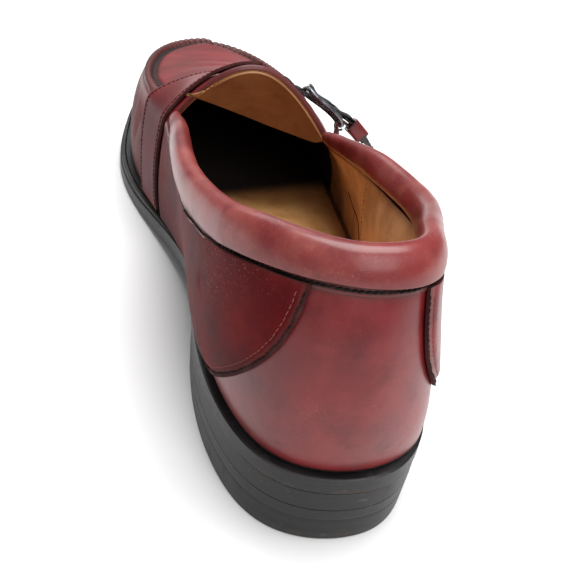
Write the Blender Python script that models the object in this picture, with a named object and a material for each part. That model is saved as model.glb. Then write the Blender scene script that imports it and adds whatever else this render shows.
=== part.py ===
"""Loafer for the right foot, at its real size, in metres, +Z up.

+Y runs from heel to toe and +X points to the outer (lateral) side. The shapes are worked out in
millimetres, with the back of the heel at y = 0 and the floor at z = 0. An empty then carries the
finished pieces so that the origin lies under the middle of the shoe, on the floor.

The last, the foot-shaped block that a shoe is built on, is described by columns. A column is a
vertical plane that starts on the outline of the sole and ends on the spine, the line under the
crest of the instep. Columns fan out round the heel and round the toe, and lie square to the shoe
between them. In each column the leather climbs from the sole to the edge line, which is the
collar seam at the back and the raised apron seam at the front, and then crosses to the crest.
"""
import math

import bpy
import bmesh
import numpy as np
from mathutils import Vector

MM = 0.001
GAP = 0.3

# ---------------------------------------------------------------------------
# Driving dimensions, in millimetres
# ---------------------------------------------------------------------------
OUTSOLE_THICKNESS = 5.2
OUTSOLE_EDGE = 0.7
HEEL_LAYER_THICKNESS = 6.2
HEEL_FRONT_Y = 74.0
HEEL_BREAST_HOLLOW = 4.0
HEEL_INSET = 0.3
HEEL_TAPER = 0.9
HEEL_EDGE = 0.4
WELT_START_Y = 132.0
WELT_INSET = 0.6
WELT_TUCK = 0.5
WELT_EDGE = 0.4
INSOLE_THICKNESS = 2.6
INSOLE_GAP = 0.6
INSOLE_EDGE = {"wide": 0.8, "tall": 0.6}
WALL = 2.2
PANEL = 1.2
PANEL_GAP = 0.7

HEEL_FAN_Y = 40.0
TOE_FAN_Y = 246.0
THROAT_Y = 152.0
THROAT_SLANT = {-1: 4.0, 1: -5.0}
THROAT_DIP = {-1: 0.0, 1: 0.5}
THROAT_FADE = 45.0
DOME = {-1: 2.1, 1: 1.8}

# Rows of the wall between seat and edge line
WALL_ROWS = np.linspace(0.0, 1.0, 8)
PANEL_ROWS = 0.03 + 0.955 * np.linspace(0.0, 1.0, 12)**1.2
PANEL_CROWDING = 1.3

# Raised apron seam
RIDGE_HEIGHT = 1.6
RIDGE_START_Y = 182.0
RIDGE_FULL_Y = 190.0
RIDGE_STEPS = (1.0, 2.6, 3.7)

# Side panels. They begin at the heel panel's seam, which runs from SEAM_FOOT_Y at the sole up to
# SEAM_TOP_STATION at the collar. The higher the bow, the lower down the seam swings forward.
SEAM_FOOT_Y = {-1: 76.0, 1: 74.0}
SEAM_TOP_STATION = {-1: 0.36, 1: 0.22}
SEAM_BOW = {-1: 2.3, 1: 3.2}
QUARTER_FRONT_Y = 149.0
QUARTER_COLUMNS = 16

# Collar
COLLAR_FRONT_Y = {-1: 148.0, 1: 145.0}
COLLAR_SLIM = {"y": (0.0, 95.0, 130.0, 148.0), "size": (1.0, 1.0, 0.78, 0.5)}
COLLAR_FOOT = 0.5
COLLAR_SECTION = (
    (2.1, 0.5), (2.6, 2.6), (2.5, 6.0), (1.3, 9.3), (-1.0, 10.9), (-3.4, 10.6), (-5.0, 8.6),
    (-5.5, 5.4), (-5.2, 2.4), (-3.6, 0.5),
)

# Saddle band over the instep, on the inner side
BAND_BACK_Y = 155.5
BAND_FRONT_Y = 180.0
BAND_END_CROSS = 0.91
BAND_COLUMNS = 6

# The strap runs over the instep, under the upper bar of the buckle, over its lower bar and
# through the keeper, and its end hangs free. STRAP_COURSE is the middle of its underside.
# STRAP_TILT says how a line across the strap leans out and falls for each step forward.
STRAP_COURSE = (
    (3.6, 173.5, 64.6), (12.5, 173.0, 62.4), (19.0, 172.5, 59.5), (24.5, 172.0, 56.8),
    (30.0, 171.5, 54.4), (36.0, 171.0, 51.9), (42.8, 170.5, 48.3), (49.2, 170.0, 43.5),
    (54.8, 169.5, 37.6), (59.3, 169.0, 31.0), (61.8, 168.5, 23.5),
)
STRAP_TILT = {
    "y":    (0.0,   20.0,  40.0,  55.0,  75.0),
    "lean": (0.0,   0.14,  0.25,  0.25,  0.20),
    "fall": (-0.42, -0.44, -0.44, -0.30, -0.12),
}
STRAP_WIDTH = {"y": (0.0, 67.0, 72.0, 75.5), "half": (6.5, 6.5, 5.6, 2.8)}
STRAP_THICKNESS = 2.1
STRAP_STEPS = 42
STRAP_EDGE_DROP = 0.6
BRAID_PITCH = 6.4
BRAID_RELIEF = 0.5
BRAID_END = 56.0

# Buckle frame. Positions along are distances down the strap; lifts are above its underside.
BUCKLE_UPPER = 22.5
BUCKLE_LOWER = 43.5
BUCKLE_HALF_WIDTH = 9.6
BUCKLE_CORNER = 4.5
BUCKLE_ROD = 1.15
BUCKLE_ARCH = 0.4
BUCKLE_BOW = {"upper": -1.4, "lower": 0.9}

# Prong: where it comes up through the strap, as (distance down from the hole, lift), where it
# leaves the strap and where its tip rests, both measured down from the upper bar
PRONG_RADIUS = 0.6
PRONG_HOLE_WIDTH = 2.4
PRONG_HOLE = (34.1, 41.1)
PRONG_HOLE_MIDDLE = 37.5
PRONG_RISE = ((1.9, -0.6), (0.0, 1.1), (-2.2, 2.6))
PRONG_LYING = (33.0, 27.1)
PRONG_BEND = {"along": 2.4, "drop": 0.5}
PRONG_TIP = 0.2

# Tab: sewn to the side, folded round the buckle's lower bar, its end inside the keeper
TAB_THICKNESS = 1.0
TAB_HALF = 4.7
TAB_FOOT = (0.36, 0.66)
TAB_LIFT = 0.45
TAB_END = 56.8
TAB_SLOT_WIDTH = 2.6
TAB_SLOT = (38.5, 46.1)
KEEPER_ALONG = 50.8
KEEPER_LENGTH = 7.6
KEEPER_WALL = 1.2
KEEPER_CORNER = 0.6

# Outline of the outsole seen from above, from the back of the heel round the inner side
# to the toe and home along the outer side.
OUTSOLE_PLAN = (
    (0, 0), (-20, 7), (-31, 30), (-33, 62), (-28.3, 108), (-33, 150), (-43.5, 205), (-38.5, 250),
    (-23, 286), (-3, 300), (20, 294), (40, 270), (51, 230), (54, 195), (48, 150), (39.2, 110),
    (33, 62), (32, 30), (20.5, 7),
)

# The edge line seen from above: the collar seam round the back, pinched in at the throat,
# and the raised apron seam round the front.
EDGE_PLAN = (
    (0, 8), (-17, 13.5), (-28.5, 27), (-34.5, 50), (-36, 80), (-34, 110), (-31.5, 137),
    (-31, 156), (-34.5, 176), (-36.5, 195), (-34, 218), (-26, 240), (-14, 253), (-1, 257.5),
    (10.5, 253), (22, 240), (29, 218), (31.5, 195), (30.6, 166), (30.6, 144), (30.6, 124),
    (31, 104), (30.7, 80), (27.5, 50), (19.6, 27), (12.6, 13.5),
)

# Heights along the shoe. sole: underside of the outsole. seat: the line where leather meets sole.
# edge: the edge line. crest: the top of the foot. spine: where the crest lies across the shoe.
# ledge: how far the sole stands out past the leather. drop: how much lower the edge line runs
# on the outer side.
PROFILE = {
    "y":     (0.0,  20.0, 45.0, 75.0, 90.0, 120.0, 150.0, 165.0, 185.0, 225.0, 262.0, 300.0),
    "sole":  (19.2, 19.2, 19.2, 19.2, 17.2, 10.5,  4.4,   2.1,   0.0,   0.0,   3.0,   10.0),
    "seat":  (24.7, 24.7, 24.7, 24.7, 22.8, 16.3,  11.0,  9.3,   8.0,   8.0,   11.0,  18.0),
    "edge":  (79.6, 77.5, 70.5, 64.0, 62.0, 57.5,  52.0,  51.5,  50.5,  48.0,  46.5,  45.0),
    "crest": (98.0, 97.0, 94.0, 91.0, 90.0, 86.0,  77.5,  68.3,  59.8,  51.5,  48.0,  47.0),
    "spine": (0.0,  0.0,  0.0,  0.0,  0.0,  -0.5,  -1.0,  -0.5,  0.0,   0.0,   -1.0,  -2.0),
    "ledge": (2.5,  2.5,  2.5,  2.4,  1.9,  1.5,   2.8,   3.9,   4.6,   4.8,   4.8,   4.8),
    "drop":  (0.0,  0.7,  1.5,  1.8,  2.0,  2.2,   2.2,   2.2,   2.4,   3.0,   1.4,   0.0),
}

# How the wall climbs from seat to edge line. back, inner, outer: how far it swells outward at the
# back of the heel and on each side. low, high: where its two handles stand, as parts of the
# climb. lean: how far the upper handle leans in. pinch: how much further in the upper handle
# stands on the outer side.
WALL_SHAPE = {
    "y":     (0.0,  45.0, 90.0, 120.0, 150.0, 185.0, 225.0, 262.0, 300.0),
    "back":  (3.6,  3.4,  3.4,  3.4,   3.4,   3.4,   3.4,   3.4,   3.4),
    "inner": (3.6,  3.4,  3.0,  2.6,   2.0,   1.4,   1.2,   1.4,   1.6),
    "outer": (0.6,  -0.1, -0.2, 0.0,    0.5,   0.8,   0.7,   1.1,   1.6),
    "low":   (0.30, 0.30, 0.32, 0.35,  0.38,  0.42,  0.45,  0.48,  0.50),
    "high":  (0.70, 0.70, 0.70, 0.72,  0.76,  0.80,  0.82,  0.84,  0.84),
    "lean":  (0.20, 0.20, 0.25, 0.30,  0.38,  0.45,  0.45,  0.42,  0.40),
    "pinch": (6.5,  6.5,  4.2,  1.0,   0.0,   0.0,   0.0,   0.0,   0.0),
}

# Share of the swell that each handle takes, and how quickly the swell of the heel's back dies
# out towards each side
LOW_SWELL = 1.6
HIGH_SWELL = 0.9
SWELL_FADE = {-1: 1.0, 1: 3.5}


# ---------------------------------------------------------------------------
# Curves
# ---------------------------------------------------------------------------
def spline_slopes(knots, values, closed):
    """Slopes at the knots of the cubic spline through the values, with free or joined ends."""
    count = len(knots)
    steps = np.diff(knots)
    rises = np.diff(values, axis=0) / steps[:, None]
    matrix = np.zeros((count, count))
    right = np.zeros((count, values.shape[1]))
    for i in range(1, count - 1):
        matrix[i, i - 1] = steps[i]
        matrix[i, i] = 2.0 * (steps[i - 1] + steps[i])
        matrix[i, i + 1] = steps[i - 1]
        right[i] = 3.0 * (steps[i] * rises[i - 1] + steps[i - 1] * rises[i])
    if closed:
        matrix[0, 0] = 2.0 * (steps[-1] + steps[0])
        matrix[0, 1] = steps[-1]
        matrix[0, count - 2] = steps[0]
        right[0] = 3.0 * (steps[0] * rises[-1] + steps[-1] * rises[0])
        matrix[-1, 0] = -1.0
        matrix[-1, -1] = 1.0
    else:
        matrix[0, 0], matrix[0, 1] = 2.0, 1.0
        right[0] = 3.0 * rises[0]
        matrix[-1, -1], matrix[-1, -2] = 2.0, 1.0
        right[-1] = 3.0 * rises[-1]
    return np.linalg.solve(matrix, right)


def spline(points, count, closed=False):
    """Evenly stepped points on the smooth curve through the given points."""
    points = np.array(points, float)
    if closed:
        points = np.vstack([points, points[:1]])
    steps = np.linalg.norm(np.diff(points, axis=0), axis=1)
    knots = np.concatenate([[0.0], np.cumsum(steps)])
    slopes = spline_slopes(knots, points, closed)
    places = np.linspace(0.0, knots[-1], count + 1 if closed else count)
    if closed:
        places = places[:-1]
    index = np.clip(np.searchsorted(knots, places, side="right") - 1, 0, len(steps) - 1)
    step = steps[index][:, None]
    t = ((places - knots[index]) / steps[index])[:, None]
    start, end = points[index], points[index + 1]
    slope_in, slope_out = slopes[index] * step, slopes[index + 1] * step
    return (start * (2 * t**3 - 3 * t**2 + 1) + slope_in * (t**3 - 2 * t**2 + t)
            + end * (3 * t**2 - 2 * t**3) + slope_out * (t**3 - t**2))


def read(table, column, y):
    """Value of a table's column at y: a smooth curve that never overshoots its rows."""
    rows = np.array(table["y"], float)
    values = np.array(table[column], float)
    step = np.diff(rows)
    rise = np.diff(values) / step
    slope = np.zeros(len(rows))
    for i in range(1, len(rows) - 1):
        if rise[i - 1] * rise[i] > 0.0:
            slope[i] = 2.0 / (1.0 / rise[i - 1] + 1.0 / rise[i])
    slope[-1] = rise[-1]
    y = min(max(float(y), rows[0]), rows[-1])
    i = min(int(np.searchsorted(rows, y, side="right")) - 1, len(step) - 1)
    t = (y - rows[i]) / step[i]
    return (values[i] * (2 * t**3 - 3 * t**2 + 1) + slope[i] * step[i] * (t**3 - 2 * t**2 + t)
            + values[i + 1] * (3 * t**2 - 2 * t**3) + slope[i + 1] * step[i] * (t**3 - t**2))


def reach(outline, centre, direction):
    """Distance from the centre to a closed outline along a direction in the plane."""
    start = outline - centre
    edge = np.roll(outline, -1, axis=0) - outline
    across = direction[0] * edge[:, 1] - direction[1] * edge[:, 0]
    across = np.where(np.abs(across) < 1e-9, 1e-9, across)
    far = (start[:, 0] * edge[:, 1] - start[:, 1] * edge[:, 0]) / across
    along = (start[:, 0] * direction[1] - start[:, 1] * direction[0]) / across
    hits = far[(along >= 0.0) & (along < 1.0) & (far > 0.0)]
    return float(hits.max())


OUTSOLE_LINE = spline(OUTSOLE_PLAN, 720, closed=True)
EDGE_LINE = spline(EDGE_PLAN, 720, closed=True)


# ---------------------------------------------------------------------------
# The last
# ---------------------------------------------------------------------------
# A station runs from 0 at the back of the heel to 3 at the tip of the toe, on either side:
# 0 to 1 fans round the heel, 1 to 2 runs along the side, 2 to 3 fans round the toe.
# side is -1 for the inner (medial) side and +1 for the outer (lateral) side.
class Column:
    def __init__(self, side, station):
        quarter = math.pi / 2.0
        if station <= 1.0:
            angle, y = station * quarter, HEEL_FAN_Y
        elif station <= 2.0:
            angle, y = quarter, HEEL_FAN_Y + (station - 1.0) * (TOE_FAN_Y - HEEL_FAN_Y)
        else:
            angle, y = (station - 1.0) * quarter, TOE_FAN_Y
        near_throat = max(1.0 - abs(y - THROAT_Y) / THROAT_FADE, 0.0)
        self.set_back = THROAT_SLANT[side] * near_throat**2
        self.centre = np.array([read(PROFILE, "spine", y), y + self.set_back])
        self.side = side
        self.turn = min(station, 1.0)
        self.out = np.array([side * math.sin(angle), -math.cos(angle)])
        self.sole_reach = reach(OUTSOLE_LINE, self.centre, self.out)
        self.edge_reach = reach(EDGE_LINE, self.centre, self.out)
        sole_y = self.centre[1] + self.out[1] * self.sole_reach
        self.seat_reach = self.sole_reach - read(PROFILE, "ledge", sole_y)
        self.y = sole_y
        self.edge_y = self.centre[1] + self.out[1] * self.edge_reach
        self.seat_z = read(PROFILE, "seat", sole_y)
        self.sole_z = read(PROFILE, "sole", sole_y)
        self.edge_z = read(PROFILE, "edge", self.edge_y) - THROAT_DIP[side] * near_throat**2
        if side > 0:
            self.edge_z -= read(PROFILE, "drop", self.edge_y)
        self.crest_z = read(PROFILE, "crest", y)

    def point(self, distance, z):
        """Point of this column at a distance from its spine."""
        spot = self.centre + self.out * distance
        return np.array([spot[0], spot[1], z])

    def wall(self, climb):
        """The leather's outer face between the sole (0) and the edge line (1)."""
        tall = self.edge_z - self.seat_z
        run = self.seat_reach - self.edge_reach
        at_back = (1.0 - self.turn)**SWELL_FADE[self.side]
        flank = read(WALL_SHAPE, "inner" if self.side < 0 else "outer", self.y)
        belly = read(WALL_SHAPE, "back", self.y) * at_back + flank * (1.0 - at_back)
        lean = read(WALL_SHAPE, "lean", self.y) * run
        if self.side > 0:
            lean += read(WALL_SHAPE, "pinch", self.y) * (1.0 - at_back)
        low = read(WALL_SHAPE, "low", self.y)
        high = read(WALL_SHAPE, "high", self.y)
        handles = ((0.0, 0.0), (-LOW_SWELL * belly, low * tall),
                   (lean - HIGH_SWELL * belly, high * tall), (run, tall))
        blend = ((1 - climb)**3, 3 * (1 - climb)**2 * climb, 3 * (1 - climb) * climb**2, climb**3)
        inward = sum(weight * handle[0] for weight, handle in zip(blend, handles))
        up = sum(weight * handle[1] for weight, handle in zip(blend, handles))
        return self.point(self.seat_reach - inward, self.seat_z + up)

    def instep(self, cross):
        """The leather's outer face between the edge line (0) and the crest (1)."""
        dome = 1.0 - (1.0 - cross)**DOME[self.side]
        spot = self.point(self.edge_reach * (1.0 - cross),
                          self.edge_z + (self.crest_z - self.edge_z) * dome)
        spot[1] -= self.set_back * (1.0 - (1.0 - cross)**2)
        return spot


def station_at(y):
    """Station of the column that stands at y along the side."""
    return 1.0 + (y - HEEL_FAN_Y) / (TOE_FAN_Y - HEEL_FAN_Y)


def wall_normal(side, station, climb):
    """The leather's outward normal on the wall."""
    step = 0.01
    low, high = max(climb - step, 0.0), min(climb + step, 1.0)
    up = Column(side, station).wall(high) - Column(side, station).wall(low)
    along = Column(side, station + step).wall(climb) - Column(side, station - step).wall(climb)
    normal = np.cross(along, up)
    return normal * side * np.sign(normal[0]) / np.linalg.norm(normal)


def edge_frame(side, station):
    """A point of the edge line, the leather's outward normal there, and the way up along it."""
    column = Column(side, station)
    top = column.wall(1.0)
    up = top - column.wall(WALL_ROWS[-2])
    step = 0.01
    before, after = max(station - step, 0.0), station + step
    along = Column(side, after).wall(1.0) - Column(side, before).wall(1.0)
    if station < step:
        along = np.array([1.0, 0.0, 0.0])
    out = np.cross(along, up)
    out *= np.sign(out[0] * column.out[0] + out[1] * column.out[1]) / np.linalg.norm(out)
    up = np.cross(out, along)
    up *= np.sign(up[2]) / np.linalg.norm(up)
    return top, out, up


# ---------------------------------------------------------------------------
# Scene and helpers
# ---------------------------------------------------------------------------
for old in list(bpy.data.objects):
    bpy.data.objects.remove(old, do_unlink=True)

shoe = bpy.data.collections.new("loafer")
bpy.context.scene.collection.children.link(shoe)
cutters = bpy.data.collections.new("loafer_cutters")
bpy.context.scene.collection.children.link(cutters)
origin = bpy.data.objects.new("loafer_origin", None)
shoe.objects.link(origin)

FINISHES = {
    "burgundy_leather": ((0.16, 0.022, 0.026), 0.32, 0.0),
    "vamp_leather": ((0.19, 0.026, 0.032), 0.30, 0.0),
    "insole_leather": ((0.48, 0.23, 0.085), 0.55, 0.0),
    "black_braid": ((0.018, 0.017, 0.018), 0.45, 0.0),
    "gunmetal": ((0.10, 0.105, 0.115), 0.30, 1.0),
    "black_sole": ((0.020, 0.019, 0.020), 0.48, 0.0),
}


def finish(name):
    """The Principled material of that name, made on first use."""
    if name in bpy.data.materials:
        return bpy.data.materials[name]
    colour, roughness, metallic = FINISHES[name]
    material = bpy.data.materials.new(name)
    material.use_nodes = True
    shader = material.node_tree.nodes["Principled BSDF"]
    shader.inputs["Base Color"].default_value = (*colour, 1.0)
    shader.inputs["Roughness"].default_value = roughness
    shader.inputs["Metallic"].default_value = metallic
    return material


def add_piece(name, bm, material):
    """Turn a bmesh in millimetres into a named piece with its normals pointing out."""
    bmesh.ops.scale(bm, vec=(MM, MM, MM), verts=bm.verts)
    bmesh.ops.recalc_face_normals(bm, faces=bm.faces)
    mesh = bpy.data.meshes.new(name)
    bm.to_mesh(mesh)
    bm.free()
    mesh.materials.append(finish(material))
    mesh.shade_smooth()
    mesh.set_sharp_from_angle(angle=math.radians(40.0))
    piece = bpy.data.objects.new(name, mesh)
    piece.parent = origin
    shoe.objects.link(piece)
    return piece


def loft(name, rings, material, closed=False):
    """A solid through rings of equal length; its ends are capped unless the rings close up."""
    bm = bmesh.new()
    loops = [[bm.verts.new(Vector(spot)) for spot in ring] for ring in rings]
    pairs = list(zip(loops, loops[1:]))
    if closed:
        pairs.append((loops[-1], loops[0]))
    for here, there in pairs:
        for i in range(len(here)):
            j = (i + 1) % len(here)
            bm.faces.new((here[i], here[j], there[j], there[i]))
    if not closed:
        bm.faces.new(loops[0])
        bm.faces.new(loops[-1])
    return add_piece(name, bm, material)


def thicken(bm, thickness):
    """Give an open surface a wall on its inner side."""
    bmesh.ops.recalc_face_normals(bm, faces=bm.faces)
    bmesh.ops.solidify(bm, geom=bm.verts[:] + bm.edges[:] + bm.faces[:], thickness=thickness)


# ---------------------------------------------------------------------------
# Upper
# ---------------------------------------------------------------------------
HEEL_STATIONS = np.linspace(0.0, 1.0, 10)
QUARTER_STATIONS = np.linspace(1.0, station_at(COLLAR_FRONT_Y[-1]), 16)[1:]
VAMP_STATIONS = np.linspace(station_at(THROAT_Y), 2.0, 13)[1:]
TOE_STATIONS = np.linspace(2.0, 3.0, 10)[1:]
THROAT_STATION = station_at(THROAT_Y)
STATIONS = np.concatenate([HEEL_STATIONS, QUARTER_STATIONS, [THROAT_STATION], VAMP_STATIONS,
                           TOE_STATIONS])
INSTEP_ROWS = 6


def ease(value, start, end):
    """0 before start, 1 after end, smooth between."""
    t = min(max((value - start) / (end - start), 0.0), 1.0)
    return t * t * (3.0 - 2.0 * t)


def upper():
    """One hollow wall: sides, heel and toe, with the instep closed in front of the throat."""
    bm = bmesh.new()
    ridge = {}
    spine = {}
    walls = {}
    insteps = {}
    for side in (-1, 1):
        for i, station in enumerate(STATIONS):
            if side == 1 and i in (0, len(STATIONS) - 1):
                walls[side, i] = walls[-1, i]
                if (-1, i) in insteps:
                    insteps[side, i] = insteps[-1, i]
                continue
            column = Column(side, station)
            walls[side, i] = [bm.verts.new(Vector(column.wall(climb))) for climb in WALL_ROWS]
            if station < THROAT_STATION - 1e-6:
                continue
            height = RIDGE_HEIGHT * ease(column.edge_y, RIDGE_START_Y, RIDGE_FULL_Y)
            steps = [step / column.edge_reach for step in RIDGE_STEPS]
            crosses = steps + list(np.linspace(steps[-1], 1.0, INSTEP_ROWS + 1)[1:])
            row = [walls[side, i][-1]]
            row += [bm.verts.new(Vector(column.instep(cross))) for cross in crosses[:-1]]
            key = min(station, 2.0)
            if key not in spine:
                spine[key] = bm.verts.new(Vector(column.instep(1.0)))
            row.append(spine[key])
            insteps[side, i] = row
            for vert in row[1:3]:
                ridge[vert] = height
    for side in (-1, 1):
        for i in range(len(STATIONS) - 1):
            skins = [(walls[side, i], walls[side, i + 1])]
            if (side, i) in insteps:
                skins.append((insteps[side, i], insteps[side, i + 1]))
            for here, there in skins:
                for a, b, c, d in zip(here, here[1:], there[1:], there):
                    corners = [a, b, c, d] if b is not c else [a, b, d]
                    bm.faces.new(corners)
    thicken(bm, WALL)
    bm.normal_update()
    for vert, height in ridge.items():
        vert.co += vert.normal * height
    return add_piece("upper", bm, "vamp_leather")


# ---------------------------------------------------------------------------
# Panels that lie on the upper
# ---------------------------------------------------------------------------
def surface_point(side, station, climb, cross):
    column = Column(side, station)
    return column.instep(cross) if cross > 0.0 else column.wall(climb)


def grid_normals(grid):
    """Outward normals of a grid of points."""
    normal = np.cross(np.gradient(grid, axis=0), np.gradient(grid, axis=1))
    normal /= np.linalg.norm(normal, axis=2)[:, :, None]
    middle = np.array([0.0, grid[:, :, 1].mean(), 30.0])
    return normal * np.sign(((grid - middle) * normal).sum())


def rim(sheet):
    """The border of a grid of vertices, once round."""
    return (sheet[0] + [row[-1] for row in sheet[1:-1]] + sheet[-1][::-1]
            + [row[0] for row in sheet[-2:0:-1]])


def panel(name, grid, normal, material):
    """A thin closed skin over a grid of points, held off the leather below by PANEL_GAP."""
    bm = bmesh.new()
    rims = []
    for lift in (PANEL_GAP, PANEL_GAP + PANEL):
        sheet = [[bm.verts.new(Vector(spot)) for spot in row] for row in grid + normal * lift]
        rims.append(rim(sheet))
        for here, there in zip(sheet, sheet[1:]):
            for a, b, c, d in zip(here, here[1:], there[1:], there):
                bm.faces.new((a, b, c, d))
    low, high = rims
    for i in range(len(low)):
        j = (i + 1) % len(low)
        bm.faces.new((low[i], low[j], high[j], high[i]))
    return add_piece(name, bm, material)


def quarter(name, side):
    """Side panel from the heel panel's curved seam forward to the throat."""
    top = SEAM_TOP_STATION[side]
    foot = station_at(SEAM_FOOT_Y[side])
    front = station_at(QUARTER_FRONT_Y)
    places = []
    for part in np.linspace(0.0, 1.0, QUARTER_COLUMNS)**PANEL_CROWDING:
        seams = [top + (foot - top) * (1.0 - climb)**SEAM_BOW[side] for climb in PANEL_ROWS]
        places.append([(seam + (front - seam) * part, climb)
                       for seam, climb in zip(seams, PANEL_ROWS)])
    grid = np.array([[Column(side, station).wall(climb) for station, climb in row]
                     for row in places])
    normal = np.array([[wall_normal(side, station, climb) for station, climb in row]
                       for row in places])
    return panel(name, grid, normal, "burgundy_leather")


# ---------------------------------------------------------------------------
# Sole, heel and insole
# ---------------------------------------------------------------------------
def ring_columns(stations):
    """Columns all round the shoe, from the back of the heel by the inner side and home."""
    inner = [Column(-1, station) for station in stations]
    outer = [Column(1, station) for station in stations[1:-1]]
    return inner + outer[::-1]


def bridge(bm, inner, outer):
    """Fill between two rows of vertices that share both their ends."""
    for a, b, c, d in zip(inner, inner[1:], outer[1:], outer):
        corners = [vert for i, vert in enumerate((a, b, c, d)) if vert not in (a, b, c, d)[:i]]
        if len(corners) > 2:
            bm.faces.new(corners)


def outsole():
    columns = ring_columns(STATIONS)
    edge = OUTSOLE_EDGE
    layers = (
        [c.point(c.sole_reach - edge, c.sole_z) for c in columns],
        [c.point(c.sole_reach, c.sole_z + edge) for c in columns],
        [c.point(c.sole_reach, c.sole_z + OUTSOLE_THICKNESS - edge) for c in columns],
        [c.point(c.sole_reach - edge, c.sole_z + OUTSOLE_THICKNESS) for c in columns],
    )
    bm = bmesh.new()
    loops = [[bm.verts.new(Vector(spot)) for spot in layer] for layer in layers]
    for here, there in zip(loops, loops[1:]):
        for i in range(len(here)):
            j = (i + 1) % len(here)
            bm.faces.new((here[i], here[j], there[j], there[i]))
    span = len(STATIONS)
    for loop in (loops[0], loops[-1]):
        inner = loop[:span]
        outer = [loop[0]] + loop[:span - 2:-1]
        bridge(bm, inner, outer)
    return add_piece("outsole", bm, "black_sole")


def welt():
    """The strip between outsole and upper, round the forepart."""
    stations = STATIONS[STATIONS > station_at(WELT_START_Y)]
    columns = [Column(-1, station) for station in stations]
    columns += [Column(1, station) for station in stations[-2::-1]]
    rings = []
    for c in columns:
        low = c.sole_z + OUTSOLE_THICKNESS + GAP
        high = c.seat_z - GAP * 1.5
        outer = c.sole_reach - WELT_INSET
        inner = c.seat_reach - WALL - WELT_TUCK
        rings.append([c.point(inner, low), c.point(outer, low), c.point(outer, high - WELT_EDGE / 2.0),
                      c.point(outer - WELT_EDGE, high), c.point(inner, high)])
    return loft("welt", rings, "black_sole")


def insole():
    columns = ring_columns(STATIONS)
    reach_in = WALL + INSOLE_GAP
    bm = bmesh.new()
    loops = []
    for rise, inset in ((0.0, 0.0), (INSOLE_THICKNESS - INSOLE_EDGE["tall"], 0.0),
                        (INSOLE_THICKNESS, INSOLE_EDGE["wide"])):
        loops.append([bm.verts.new(Vector(c.point(c.seat_reach - reach_in - inset, c.seat_z + rise)))
                      for c in columns])
    for here, there in zip(loops, loops[1:]):
        for i in range(len(here)):
            j = (i + 1) % len(here)
            bm.faces.new((here[i], here[j], there[j], there[i]))
    span = len(STATIONS)
    for loop in (loops[0], loops[-1]):
        bridge(bm, loop[:span], [loop[0]] + loop[:span - 2:-1])
    return add_piece("insole", bm, "insole_leather")


def heel_outline(inset):
    """The heel seen from above: the outsole's outline back of a slightly hollow breast."""
    last = station_at(HEEL_FRONT_Y)
    stations = np.concatenate([HEEL_STATIONS, np.linspace(1.0, last, 5)[1:]])
    inner = [Column(-1, station) for station in stations]
    outer = [Column(1, station) for station in stations[1:]]
    rim = [c.point(c.sole_reach - inset, 0.0) for c in inner[::-1] + outer]
    start, end = rim[0], rim[-1]
    breast = []
    for part in np.linspace(0.0, 1.0, 9)[1:-1]:
        spot = end + (start - end) * part
        spot[1] -= HEEL_BREAST_HOLLOW * math.sin(math.pi * part)
        breast.append(spot)
    return rim + breast


def heel_lift(name, low, high, inset_low, inset_high):
    """One layer of the heel, with its edges broken."""
    layers = []
    for z, inset in ((low, inset_low + HEEL_EDGE), (low + HEEL_EDGE, inset_low),
                     (high - HEEL_EDGE, inset_high), (high, inset_high + HEEL_EDGE)):
        layers.append([spot + np.array([0.0, 0.0, z]) for spot in heel_outline(inset)])
    return loft(name, layers, "black_sole")


def heel():
    top = read(PROFILE, "sole", 0.0) - GAP
    joint = top - HEEL_LAYER_THICKNESS
    middle = HEEL_TAPER * (1.0 - joint / top)
    heel_lift("heel_layer", joint, top, middle, HEEL_INSET)
    heel_lift("heel_block", 0.0, joint - GAP, HEEL_TAPER, middle)


# ---------------------------------------------------------------------------
# Collar and saddle band
# ---------------------------------------------------------------------------
def collar():
    """The padded roll sewn along the top edge, from one side of the throat to the other."""
    inner = np.concatenate([HEEL_STATIONS, QUARTER_STATIONS])
    outer = np.minimum(inner[1:], station_at(COLLAR_FRONT_Y[1]))
    places = [(-1, station) for station in inner[::-1]] + [(1, station) for station in outer]
    rings = []
    for side, station in places:
        top, out, up = edge_frame(side, station)
        size = read(COLLAR_SLIM, "size", top[1])
        rings.append([top + out * across * size + up * (COLLAR_FOOT + (rise - COLLAR_FOOT) * size)
                      for across, rise in COLLAR_SECTION])
    return loft("collar", rings, "burgundy_leather")


def saddle_band():
    """The band from the sole up the inner side and over the instep."""
    route = [(-1, climb, 0.0) for climb in np.linspace(0.02, 1.0, 9)]
    route += [(-1, 1.0, cross) for cross in np.linspace(0.0, 1.0, 8)[1:]]
    route += [(1, 1.0, cross) for cross in np.linspace(1.0, BAND_END_CROSS, 3)[1:]]
    stations = [station_at(y) for y in np.linspace(BAND_BACK_Y, BAND_FRONT_Y, BAND_COLUMNS)]
    grid = np.array([[surface_point(side, station, climb, cross) for station in stations]
                     for side, climb, cross in route])
    return panel("saddle_band", grid, grid_normals(grid), "burgundy_leather")


# ---------------------------------------------------------------------------
# Strap, buckle, prong, tab and keeper, laid out along the strap's course
# ---------------------------------------------------------------------------
COURSE = spline(STRAP_COURSE, 145)
COURSE_LENGTHS = np.concatenate([[0.0], np.cumsum(np.linalg.norm(np.diff(COURSE, axis=0), axis=1))])
LOWER_BAR_LIFT = -(BUCKLE_ROD + GAP + TAB_THICKNESS + GAP)
UPPER_BAR_LIFT = STRAP_THICKNESS + GAP + BUCKLE_ROD


def on_course(along):
    return np.array([np.interp(along, COURSE_LENGTHS, COURSE[:, axis]) for axis in range(3)])


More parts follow.
